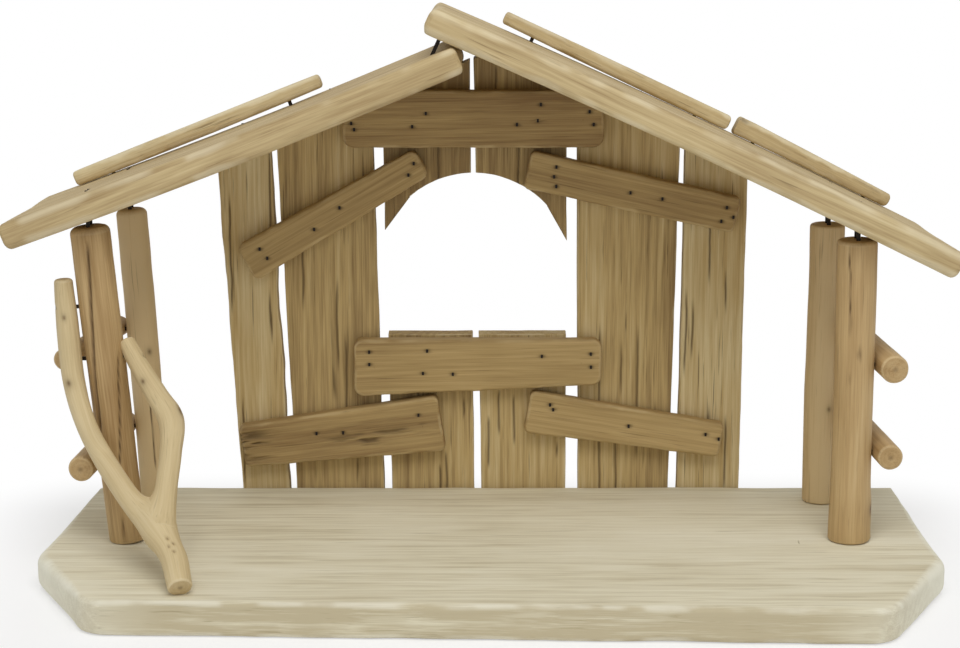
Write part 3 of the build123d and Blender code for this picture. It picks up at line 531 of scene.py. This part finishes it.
def wood(name, pale, mid, dark, scar, bleach, ring_mm, contrast, checked, roughness, bump_mm, sawn=None):
    """Wood cut along the grain: growth rings round the pith, streaks, bands and fine fibres drawn out along
    it, thin dark checks, scars and rubbed places where the attributes say so, and end grain in the sawn or
    the dark colour. The tone attribute shifts each piece's colour, and carries painted shade on a slab's
    long sides and on the pieces under the roof; the shade attribute carries painted shade in the pits
    round the brads."""
    material = bpy.data.materials.new(name)
    material.use_nodes = True
    tree = material.node_tree
    shader = tree.nodes["Principled BSDF"]
    grain = add(tree, "ShaderNodeAttribute", attribute_name="grain").outputs["Vector"]
    marks = {label: add(tree, "ShaderNodeAttribute", attribute_name=label).outputs["Fac"]
             for label in ("shade", "cut", "rubbed", "tone")}
    patterns = {}
    for label, (along, across, detail) in PATTERNS.items():
        cells = (1 / (along * MM), 1 / (across * MM), 1 / (across * MM))
        scaled = add(tree, "ShaderNodeVectorMath", operation="MULTIPLY", Vector=grain, Vector_001=cells)
        patterns[label] = add(tree, "ShaderNodeTexNoise", Vector=scaled.outputs[0], Scale=1.0, Detail=detail,
                              Roughness=PATTERN_ROUGHNESS).outputs["Fac"]
    flat = add(tree, "ShaderNodeVectorMath", operation="MULTIPLY", Vector=grain, Vector_001=(0, 1, 1))
    radius = add(tree, "ShaderNodeVectorMath", operation="LENGTH", Vector=flat.outputs[0])
    bent = add(tree, "ShaderNodeMath", operation="MULTIPLY_ADD", Value=patterns["warp"],
               Value_001=RING_WARP * ring_mm * MM, Value_002=radius.outputs["Value"])
    count = add(tree, "ShaderNodeMath", operation="DIVIDE", Value=bent.outputs[0], Value_001=ring_mm * MM)
    patterns["ring"] = add(tree, "ShaderNodeMath", operation="PINGPONG", Value=count.outputs[0],
                           Value_001=0.5).outputs[0]
    # The ramp starts from the tone attribute, with its painted shade
    tone = marks["tone"]
    middle = 0
    for label, (weight, mean) in TONES.items():
        middle += contrast * weight * mean
        tone = add(tree, "ShaderNodeMath", operation="MULTIPLY_ADD", Value=patterns[label],
                   Value_001=contrast * weight, Value_002=tone).outputs[0]
    colour = add(tree, "ShaderNodeValToRGB", Fac=tone,
                 stops=((middle + PALE_TONE, pale), (middle, mid), (middle + DARK_TONE, dark))).outputs[0]
    checks = add(tree, "ShaderNodeMapRange", Value=patterns["checks"], From_Min=CHECK_START,
                 From_Max=CHECK_FULL, To_Min=0.0, To_Max=checked).outputs[0]
    for share, over in ((checks, scar), (marks["cut"], sawn or dark), (marks["rubbed"], bleach),
                        (marks["shade"], scar)):
        colour = add(tree, "ShaderNodeMix", data_type="RGBA", Factor_Float=share, A_Color=colour,
                     B_Color=linear(over)).outputs[2]
    tree.links.new(colour, shader.inputs["Base Color"])
    shader.inputs["Roughness"].default_value = roughness
    shader.inputs["IOR"].default_value = WOOD_IOR
    shader.inputs["Specular IOR Level"].default_value = WOOD_SPECULAR
    relief = add(tree, "ShaderNodeMath", operation="SUBTRACT", Value=patterns["fibres"], Value_001=checks)
    bump = add(tree, "ShaderNodeBump", Height=relief.outputs[0], Strength=BUMP_STRENGTH,
               Distance=bump_mm * MM)
    tree.links.new(bump.outputs[0], shader.inputs["Normal"])
    return material


# Bleached sawn softwood, open grain rubbed pale: a chalky beige with soft long streaks and pale sawn ends
base_wood = wood("bleached sawn softwood", pale="#EDE8D3", mid="#DFD8BE", dark="#C2B697", scar="#948560",
                 bleach="#F3F0DF", sawn="#F2F0DE", ring_mm=5.0, contrast=0.8, checked=0.4, roughness=0.8,
                 bump_mm=0.25)
# Weathered rough sawn boards: olive tan with fine upright streaks and dark drying checks
wall_wood = wood("weathered rough sawn boards", pale="#DAC89C", mid="#C0A672", dark="#917850",
                 scar="#57452B", bleach="#E0D2AC", ring_mm=3.6, contrast=0.8, checked=0.6,
                 roughness=0.82, bump_mm=0.4)
# Sanded batten offcuts: warm tan, nearly even, with a few thin dark lines
batten_wood = wood("sanded batten offcuts", pale="#C6AB79", mid="#AE9463", dark="#856943", scar="#4C3920",
                   bleach="#D2BC8F", ring_mm=3.2, contrast=0.7, checked=0.4, roughness=0.72, bump_mm=0.25)
# Planed roof plank: pale straw with brown lines
roof_wood = wood("planed roof plank", pale="#D9CAA2", mid="#C4AF83", dark="#9C835A", scar="#665030",
                 bleach="#E6DABA", ring_mm=4.0, contrast=0.75, checked=0.5, roughness=0.72, bump_mm=0.25)
# Peeled branch: smooth tan, faint long streaks
branch_wood = wood("peeled branch", pale="#D2BA8E", mid="#BFA273", dark="#98794D", scar="#5A4327",
                   bleach="#DCCAA4", ring_mm=2.6, contrast=0.75, checked=0.35, roughness=0.62, bump_mm=0.18)
# Sun dried peeled twig: light beige
fork_wood = wood("sun dried peeled twig", pale="#DECDA8", mid="#CDB98E", dark="#AC9268", scar="#5F4629",
                 bleach="#E4D6B5", ring_mm=2.4, contrast=0.55, checked=0.25, roughness=0.66, bump_mm=0.18)


def bare_wire():
    """Bare wire gone dull: a dark grey metal with a broad highlight."""
    material = bpy.data.materials.new("dull bare wire")
    material.use_nodes = True
    shader = material.node_tree.nodes["Principled BSDF"]
    shader.inputs["Base Color"].default_value = linear("#2E2823")
    shader.inputs["Metallic"].default_value = 0.7
    shader.inputs["Roughness"].default_value = 0.6
    return material


wire = bare_wire()
for node in FASTENERS:
    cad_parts[node].data.materials.clear()
    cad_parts[node].data.materials.append(wire)

# Base: grain to the right, face up

BASE_SEED = 11
# Painted shade darkens the base's long front and back sides, beside its top
BASE_FINISH = dict(around=900, face_rows=64, side_rows=10, back_rows=12, edge=3.4 * MM, end_edge=6.5 * MM,
                   edge_wear=0.8 * MM, wear_cell=16 * MM, wave=0.4 * MM, groove=0.15 * MM,
                   groove_pitch=4 * MM, rub=0.5, cut_share=0.9, side_tone=0.2)
wooden_piece("base_plank", "base_wood", base_wood, *slab("base_plank", X, Y, BASE_SEED, **BASE_FINISH))

# Wall boards: grain upright, face to the front

ARCH_CENTRE, ARCH_HALF_WIDTH, ARCH_SPRING, ARCH_RISE = -9.0 * MM, 54.0 * MM, 167.0 * MM, 40.4 * MM
ARCH_SHOULDER_SHARES = (0.52, 0.80)  # the shoulder's place out from the middle and its height


def arch_height(leftward):
    """Height of the arch over a place to the left of the middle: on each side the circle through its spring,
    its shoulder and its top."""
    off = np.minimum(np.abs(leftward + ARCH_CENTRE), ARCH_HALF_WIDTH)
    past = np.array([ARCH_HALF_WIDTH, ARCH_SHOULDER_SHARES[0] * ARCH_HALF_WIDTH, 0])
    rise = np.array([0, ARCH_SHOULDER_SHARES[1] * ARCH_RISE, ARCH_RISE])
    middle_off, middle_rise, rest = np.linalg.solve(np.stack([2 * past, 2 * rise, np.ones(3)], axis=1),
                                                    past ** 2 + rise ** 2)
    radius = np.sqrt(rest + middle_off ** 2 + middle_rise ** 2)
    return ARCH_SPRING + middle_rise + np.sqrt(radius ** 2 - (off - middle_off) ** 2)


# Drying cracks: how many a board has, ranges of the shares where one starts, of how long it is and of how
# far it lies from the board's side, and its width and depth
CRACK_COUNT = 6
CRACK_STARTS, CRACK_LENGTHS, CRACK_SIDES = (0, 0.75), (0.1, 0.35), (0.08, 0.92)
CRACK_WIDTH, CRACK_DEPTH = 0.6 * MM, 0.7 * MM


def drying_cracks(seed):
    """Cracks along a board, at random places in their ranges."""
    dice = np.random.default_rng(seed)
    starts, lengths, sides = (dice.uniform(*bounds, CRACK_COUNT)
                              for bounds in (CRACK_STARTS, CRACK_LENGTHS, CRACK_SIDES))
    return [(first, first + length, side, CRACK_WIDTH, CRACK_DEPTH)
            for first, length, side in zip(starts, lengths, sides)]


WALL_FINISH = dict(around=460, face_rows=44, side_rows=7, back_rows=20, edge=1.2 * MM, wear_cell=26 * MM,
                   wave=0.4 * MM, groove=0.4 * MM, groove_pitch=2.6 * MM, rub=0.6)
# Each board's seed, tone and worn edge
BOARDS = {"back_board_far_left": (21, -0.08, 2.0 * MM), "back_board_left": (22, 0.05, 1.0 * MM),
          "sill_board_left": (23, 0.06, 0.5 * MM), "sill_board_right": (24, -0.06, 0.5 * MM),
          "back_board_right": (25, 0.05, 0.5 * MM), "back_board_far_right": (26, -0.1, 0.7 * MM)}
# The gables' higher tones darken them: partly their own tone, partly painted shade under the roof
GABLES = {"gable_board_left": (27, 0.2, 0.3 * MM), "gable_board_right": (28, 0.18, 0.3 * MM)}
for node, (seed, tone, worn) in {**BOARDS, **GABLES}.items():
    wooden_piece(node, "wall_wood", wall_wood,
                 *slab(node, Z, -X, seed, edge_wear=worn, tone=tone, cracks=drying_cracks(seed),
                       low_edge=arch_height if node in GABLES else None, **WALL_FINISH))

# Battens: grain along the longest way, face to the front

def long_way(node):
    """Longest direction of a node in the wall's plane, pointing to the right."""
    places = cad_points(node)[0][:, [0, 2]]
    way = np.linalg.svd(places - places.mean(axis=0), full_matrices=False)[2][0]
    way = way * np.sign(way[0])
    return np.array([way[0], 0, way[1]])


BATTEN_FINISH = dict(around=440, face_rows=26, side_rows=7, back_rows=10, edge=2.4 * MM, edge_wear=0.5 * MM,
                     wear_cell=11 * MM, wave=0.6 * MM, groove=0.2 * MM, groove_pitch=3 * MM, rub=0.5)
# Scars of the torn brace: place along and across it, reach along and across it as shares, and depth
TORN_BRACE = ((0.04, 0.5, 0.11, 0.4, 1.8 * MM), (0.74, 0.52, 0.26, 0.12, 1.3 * MM),
              (0.58, 0.36, 0.22, 0.1, 1.1 * MM))
# Each batten's seed, tone and scars
# The collar batten's higher tone is partly its own tone, partly painted shade under the roof
BATTENS = {"collar_batten": (31, 0.12, ()), "sill_batten": (32, 0.02, ()), "brace_upper_left": (33, 0.0, ()),
           "brace_upper_right": (34, 0.06, ()), "brace_lower_left": (35, 0.08, TORN_BRACE),
           "brace_lower_right": (36, -0.08, ())}
for node, (seed, tone, scars) in BATTENS.items():
    way = long_way(node)
    wooden_piece(node, "batten_wood", batten_wood,
                 *slab(node, way, np.cross(-Y, way), seed, tone=tone, scars=scars, **BATTEN_FINISH))

# Roof planks and laths: grain along the slope, face up

ROOF_SQUARE_ON = 0.97  # least cosine between the front face's normal and the way to the front
ROOF_FRONT_DEPTH = 12 * MM  # the front face lies this near the front


def roof_ways(node):
    """Direction along a roof piece to the right, and the one to its back, square to its front face."""
    places, facings = cad_points(node)
    ahead = places @ -Y
    in_front = (facings @ -Y > ROOF_SQUARE_ON) & (ahead > ahead.max() - ROOF_FRONT_DEPTH)
    back = -unit(facings[in_front].mean(axis=0))
    spread = places - places.mean(axis=0)
    way = np.linalg.svd(spread - np.outer(spread @ back, back), full_matrices=False)[2][0]
    return way * np.sign(way[0]), back


PLANK_FINISH = dict(around=520, face_rows=52, side_rows=10, back_rows=40, bend=4, edge=4.2 * MM,
                    end_edge=6.5 * MM, edge_wear=0.9 * MM, wear_cell=22 * MM, wave=0.3 * MM,
                    groove=0.15 * MM, groove_pitch=3.4 * MM, rub=0.5, pit_depth=0.1 * MM)
# Each plank's seed, tone and what is worn off its left and right end
PLANKS = {"roof_plank_left": (41, 0.08, (2.0 * MM, 0)), "roof_plank_right": (42, 0.06, (0, 2.6 * MM))}
for node, (seed, tone, trims) in PLANKS.items():
    wooden_piece(node, "roof_wood", roof_wood,
                 *slab(node, *roof_ways(node), seed, tone=tone, trims=trims, **PLANK_FINISH))
LATH_FINISH = dict(around=380, face_rows=12, side_rows=7, back_rows=10, bend=2, edge=3.2 * MM,
                   edge_wear=0.9 * MM, wear_cell=11 * MM, wave=0.4 * MM, groove=0.15 * MM,
                   groove_pitch=3 * MM, rub=0.5, pit_depth=0.1 * MM)
# Each lath's seed, tone and scars
LATHS = {"roof_lath_left": (51, -0.08, ()), "roof_lath_right_upper": (52, -0.04, ()),
         "roof_lath_right_lower": (53, 0.0, ((0.02, 0.5, 0.05, 0.8, 1.0 * MM),))}
for node, (seed, tone, scars) in LATHS.items():
    wooden_piece(node, "roof_wood", roof_wood,
                 *slab(node, *roof_ways(node), seed, tone=tone, scars=scars, **LATH_FINISH))

# Posts

RING_VERTICES = 56  # vertices that a whole ring of a post has at least
HEAD_CUT = 15 * MM  # rings nearer the head than this may be trimmed by the roof
LEVEL_PLACES = 5  # decimals of a metre to which the vertices of a ring are level


def rings_of(node, drop):
    """Middles and girths of the level rings that a CAD post is lofted through; the last ring stands for the
    head, whose own is trimmed by the roof, dropped to the gap that the roof nails bridge."""
    places = cad_points(node)[0]
    levels, counts = np.unique(np.round(places[:, 2], LEVEL_PLACES), return_counts=True)
    whole = levels[(counts >= RING_VERTICES) & (levels < levels.max() - HEAD_CUT)]
    rings = [places[np.abs(places[:, 2] - level) < 10 ** -LEVEL_PLACES] for level in whole]
    middles = np.array([(ring.max(axis=0) + ring.min(axis=0)) / 2 for ring in rings])
    girths = np.array([np.ptp(ring[:, 1]) / 2 for ring in rings])
    lean = (middles[-1] - middles[-2]) / (middles[-1, 2] - middles[-2, 2])
    head = middles[-1] + lean * (places[:, 2].max() - drop - middles[-1, 2])
    return np.concatenate([middles, [head]]), np.append(girths, girths[-1])


# Each post's seed, tone, drop of its head below the roof and rounding of the head. Directions are degrees
# round a post, 0 to the right and -90 to the front. A knot has its share of the height, direction, size and
# lift; a crack has the shares and directions where it starts and ends, its width and its depth.
POST_FLUTE, POST_FOOT_RIM = 0.035, 1.6 * MM
POSTS = {"front_post_left": (61, 0.08, 0.4 * MM, 3.6 * MM),
         "rear_post_left": (62, -0.35, 4.4 * MM, 3.4 * MM),
         "front_post_right": (63, 0.03, 0.5 * MM, 2.4 * MM),
         "rear_post_right": (64, -0.2, 3.6 * MM, 1.6 * MM)}
POST_KNOTS = {"front_post_left": (), "rear_post_left": ((0.52, -60, 2.5 * MM, 0.3 * MM),),
              "front_post_right": ((0.11, -20, 5 * MM, 0.6 * MM),),
              "rear_post_right": ((0.35, -75, 2 * MM, 0.2 * MM),)}
POST_CRACKS = {"front_post_left": ((0.33, 0.97, -135, -90, 0.75 * MM, 2.2 * MM),
                                   (0.23, 0.62, -83, -33, 0.5 * MM, 1.2 * MM),
                                   (0.0, 0.1, -92, -86, 0.5 * MM, 1.0 * MM)),
               "rear_post_left": ((0.1, 0.4, -70, -80, 0.4 * MM, 0.7 * MM),),
               "front_post_right": ((0.68, 0.985, -115, -118, 0.45 * MM, 0.9 * MM),
                                    (0.6, 0.68, -80, -84, 0.7 * MM, 0.4 * MM),
                                    (0.61, 0.66, -88, -92, 0.5 * MM, 0.4 * MM),
                                    (0.53, 0.59, -112, -108, 0.5 * MM, 0.3 * MM)),
               "rear_post_right": ()}
for node, (seed, tone, drop, head_rim) in POSTS.items():
    wooden_piece(node, "branch_wood", branch_wood,
                 *branch(*rings_of(node, drop), seed, rims=(POST_FOOT_RIM, head_rim), flute=POST_FLUTE,
                         knots=POST_KNOTS[node], cracks=POST_CRACKS[node], tone=tone))

# Side rails: sticks from the front to the back

RAIL_END_DEPTH = 6 * MM  # the vertices of a stick's end face lie this near its end


def end_middle(node, way):
    """Middle of the end face of a stick that looks along a way: the mean of the vertices near that end which
    face so."""
    places, facings = cad_points(node)
    length = np.ptp(places[:, 1])
    ahead = length / 2 + (places - places.mean(axis=0)) @ way
    return places[(facings @ way > SQUARE_ON) & (ahead > length - RAIL_END_DEPTH)].mean(axis=0)


RAIL_FINISH = dict(rows=90, around=56, side=Z, rims=(1.5 * MM, 1.5 * MM), flute=0.025, wander=0.15 * MM)
RAILS = {"side_rail_left_lower": 65, "side_rail_left_upper": 66, "side_rail_right_lower": 67,
         "side_rail_right_upper": 68}
for node, seed in RAILS.items():
    front, back = end_middle(node, -Y), end_middle(node, Y)
    girth = np.ptp(cad_points(node)[0][:, 2]) / 2
    wooden_piece(node, "branch_wood", branch_wood,
                 *branch([front, (front + back) / 2, back], [girth] * 3, seed, **RAIL_FINISH))

# Forked branch: middles and girths in millimetres, the arm from its foot to its tip and the limb from the
# stem past the crotch to the post; knots as on the posts, the small sunk ones at the foot being worm holes

ARM = [(-158.5, -90, 24.4, 6.5), (-164.6, -72, 36, 7.2), (-177, -56, 47, 7.6), (-192, -40, 58.5, 6.2),
       (-208, -17, 72.5, 5.8), (-217.6, -12.6, 91, 5.6), (-224, -5.4, 112, 6), (-226.6, -2.4, 139, 6.1),
       (-228.2, -1, 167, 5)]
LIMB = [(-171.5, -60, 45, 5.2), (-171, -53, 52.5, 6.2), (-170.6, -42, 65, 6.1), (-169.2, -33, 80, 6),
        (-169.8, -24, 94, 6.9), (-178.4, -15, 107, 6), (-187, -7, 118.5, 5.4), (-196.4, 2, 132.4, 4.6)]
ARM_KNOTS = ((0.72, -110, 3.0 * MM, 0.5 * MM), (0.9, -95, 2.0 * MM, -0.3 * MM),
             (0.095, -84, 1.0 * MM, -0.9 * MM), (0.115, -98, 0.9 * MM, -0.8 * MM),
             (0.12, -72, 0.9 * MM, -0.8 * MM), (0.14, -86, 1.0 * MM, -0.9 * MM))
LIMB_KNOTS = ((0.56, -20, 4.0 * MM, 0.7 * MM), (0.76, -120, 2.4 * MM, 0.3 * MM))
FORK_FINISH = dict(around=80, rows=220, rims=(1.2 * MM, 1.8 * MM), flute=0.05)
FORK_MIDDLES = 160  # points of each limb's middle line that the melding measures from
MELD = 10 * MM  # how far from the crease the two limbs start to flow together
MELD_STEPS, MELD_PACE = 6, 0.6  # steps of the melding, and the share of the way that each goes
BURIED = 4 * MM  # what lies this deep in the other limb stays


def outside(points, line, girth):
    """How far points are outside a branch, and the direction away from its nearest middle."""
    away = points[:, None] - line
    gap = np.linalg.norm(away, axis=2) - girth
    pick = np.arange(len(points)), np.argmin(gap, axis=1)
    return gap[pick], unit(away[pick])


def melded(points, own, other):
    """A limb swelled to the smooth union of two branches: where both are near, the surface moves outward by
    up to a third of the melding reach, so that the crease fills to a web; what lies deep in the other
    branch stays."""
    flat = points.reshape(-1, 3)
    start, way = outside(flat, *own)
    moved = flat
    for _ in range(MELD_STEPS):
        here, other_gap = outside(moved, *own)[0], outside(moved, *other)[0]
        near = np.maximum(MELD - np.abs(here - other_gap), 0) / MELD
        union = np.minimum(here, other_gap) - near ** 2 * MELD / 4
        free = smooth_step(other_gap, -BURIED, 0)
        moved = moved + way * (np.clip(start - union, 0, MELD / 4) * free * MELD_PACE)[:, None]
        moved = flat + way * np.clip(np.sum((moved - flat) * way, axis=1), 0, MELD / 3)[:, None]
    return moved.reshape(points.shape)


limbs = {label: np.array(stations) * MM for label, stations in (("_arm", ARM), ("_limb", LIMB))}
middles = {label: (curve_through(rows[:, :3], FORK_MIDDLES), curve_through(rows[:, 3:], FORK_MIDDLES)[:, 0])
           for label, rows in limbs.items()}
for label, other, knots, seed in (("_arm", "_limb", ARM_KNOTS, 71), ("_limb", "_arm", LIMB_KNOTS, 72)):
    points, marks = branch(limbs[label][:, :3], limbs[label][:, 3], seed, knots=knots, **FORK_FINISH)
    points = melded(points, middles[label], middles[other])
    wooden_piece("forked_branch", "fork_wood", fork_wood, points, marks, label)

# Camera, light and floor

# Each lamp's place, target, size in metres and power in watts
LAMPS = {"soft_top_light": ((0.1, -0.82, 1.38), (0, 0, 0.1), 1.0, 12.5),
         "soft_front_light": ((-0.7, -1.6, 0.8), (0, 0, 0.12), 1.2, 0.8)}
AMBIENT = 0.45  # strength of the white studio's light from all around
FLOOR_REACH = 6.0  # half the floor's side, in metres
# The floor's shadow is kept under and close to the base: half its width and depth, how far the fade runs,
# and the share of plain white in the shadow
SHADOW_CORE = (0.23, 0.1, 0.0)
SHADOW_FADE = 0.1
SHADOW_WHITE = 0.5


def photo_camera():
    """Camera at the photograph's place, looking at the wall and tilted down."""
    camera = bpy.data.objects.new("camera", bpy.data.cameras.new("camera"))
    bpy.context.scene.collection.objects.link(camera)
    camera.location = CAMERA_PLACE
    camera.rotation_euler = (math.radians(90 - CAMERA_PITCH), 0, 0)
    camera.data.lens = CAMERA_LENS
    camera.data.sensor_width = SENSOR_WIDTH
    camera.data.sensor_fit = "HORIZONTAL"
    bpy.context.scene.camera = camera


def lamp(name, place, target, size, power):
    """Square soft light that faces its target."""
    light = bpy.data.objects.new(name, bpy.data.lights.new(name, "AREA"))
    light.data.size = size
    light.data.energy = power
    light.location = place
    way = unit(np.array(target) - np.array(place))
    light.rotation_euler = (math.acos(-way[2]), 0, math.atan2(way[0], -way[1]) + math.pi)
    bpy.context.scene.collection.objects.link(light)


def paper_floor():
    """White paper under the stable: matt, with the shadow near the stable, fading into the white studio."""
    mesh = bpy.data.meshes.new("paper_floor")
    corners = [(x * FLOOR_REACH, y * FLOOR_REACH, 0) for x, y in ((-1, -1), (1, -1), (1, 1), (-1, 1))]
    mesh.from_pydata(corners, [], [(0, 1, 2, 3)])
    floor = bpy.data.objects.new("paper_floor", mesh)
    bpy.context.scene.collection.objects.link(floor)
    material = bpy.data.materials.new("matt white paper")
    material.use_nodes = True
    tree = material.node_tree
    paper = tree.nodes["Principled BSDF"]
    paper.inputs["Base Color"].default_value = linear("#FCFCFC")
    paper.inputs["Roughness"].default_value = 0.9
    place = add(tree, "ShaderNodeTexCoord").outputs["Object"]
    spread = add(tree, "ShaderNodeVectorMath", operation="ABSOLUTE", Vector=place)
    past = add(tree, "ShaderNodeVectorMath", operation="SUBTRACT", Vector=spread.outputs[0],
               Vector_001=SHADOW_CORE)
    beyond = add(tree, "ShaderNodeVectorMath", operation="MAXIMUM", Vector=past.outputs[0],
                 Vector_001=(0, 0, 0))
    away = add(tree, "ShaderNodeVectorMath", operation="LENGTH", Vector=beyond.outputs[0])
    far = add(tree, "ShaderNodeMapRange", interpolation_type="SMOOTHSTEP", Value=away.outputs["Value"],
              From_Min=0.0, From_Max=SHADOW_FADE, To_Min=SHADOW_WHITE)
    rays = add(tree, "ShaderNodeLightPath").outputs
    seen = add(tree, "ShaderNodeMath", operation="MULTIPLY", Value=rays["Is Camera Ray"],
               Value_001=far.outputs[0])
    white = add(tree, "ShaderNodeEmission", Strength=1.0)
    both = add(tree, "ShaderNodeMixShader", Fac=seen.outputs[0], Shader=paper.outputs[0],
               Shader_001=white.outputs[0])
    tree.links.new(both.outputs[0], tree.nodes["Material Output"].inputs["Surface"])
    mesh.materials.append(material)


def white_studio():
    """White all round: plain to the camera, in reflections and through clear things, softer as light."""
    world = bpy.data.worlds.new("white studio")
    world.use_nodes = True
    bpy.context.scene.world = world
    tree = world.node_tree
    sky = tree.nodes["Background"]
    sky.inputs["Color"].default_value = (1, 1, 1, 1)
    rays = add(tree, "ShaderNodeLightPath").outputs
    seen = add(tree, "ShaderNodeMath", operation="ADD", Value=rays["Is Camera Ray"],
               Value_001=rays["Is Glossy Ray"])
    seen_all = add(tree, "ShaderNodeMath", operation="ADD", Value=seen.outputs[0],
                   Value_001=rays["Is Transmission Ray"])
    strength = add(tree, "ShaderNodeMapRange", Value=seen_all.outputs[0], To_Min=AMBIENT, To_Max=1.0)
    tree.links.new(strength.outputs[0], sky.inputs["Strength"])


photo_camera()
for name, settings in LAMPS.items():
    lamp(name, *settings)
paper_floor()
white_studio()
bpy.context.scene.view_settings.view_transform = "Standard"
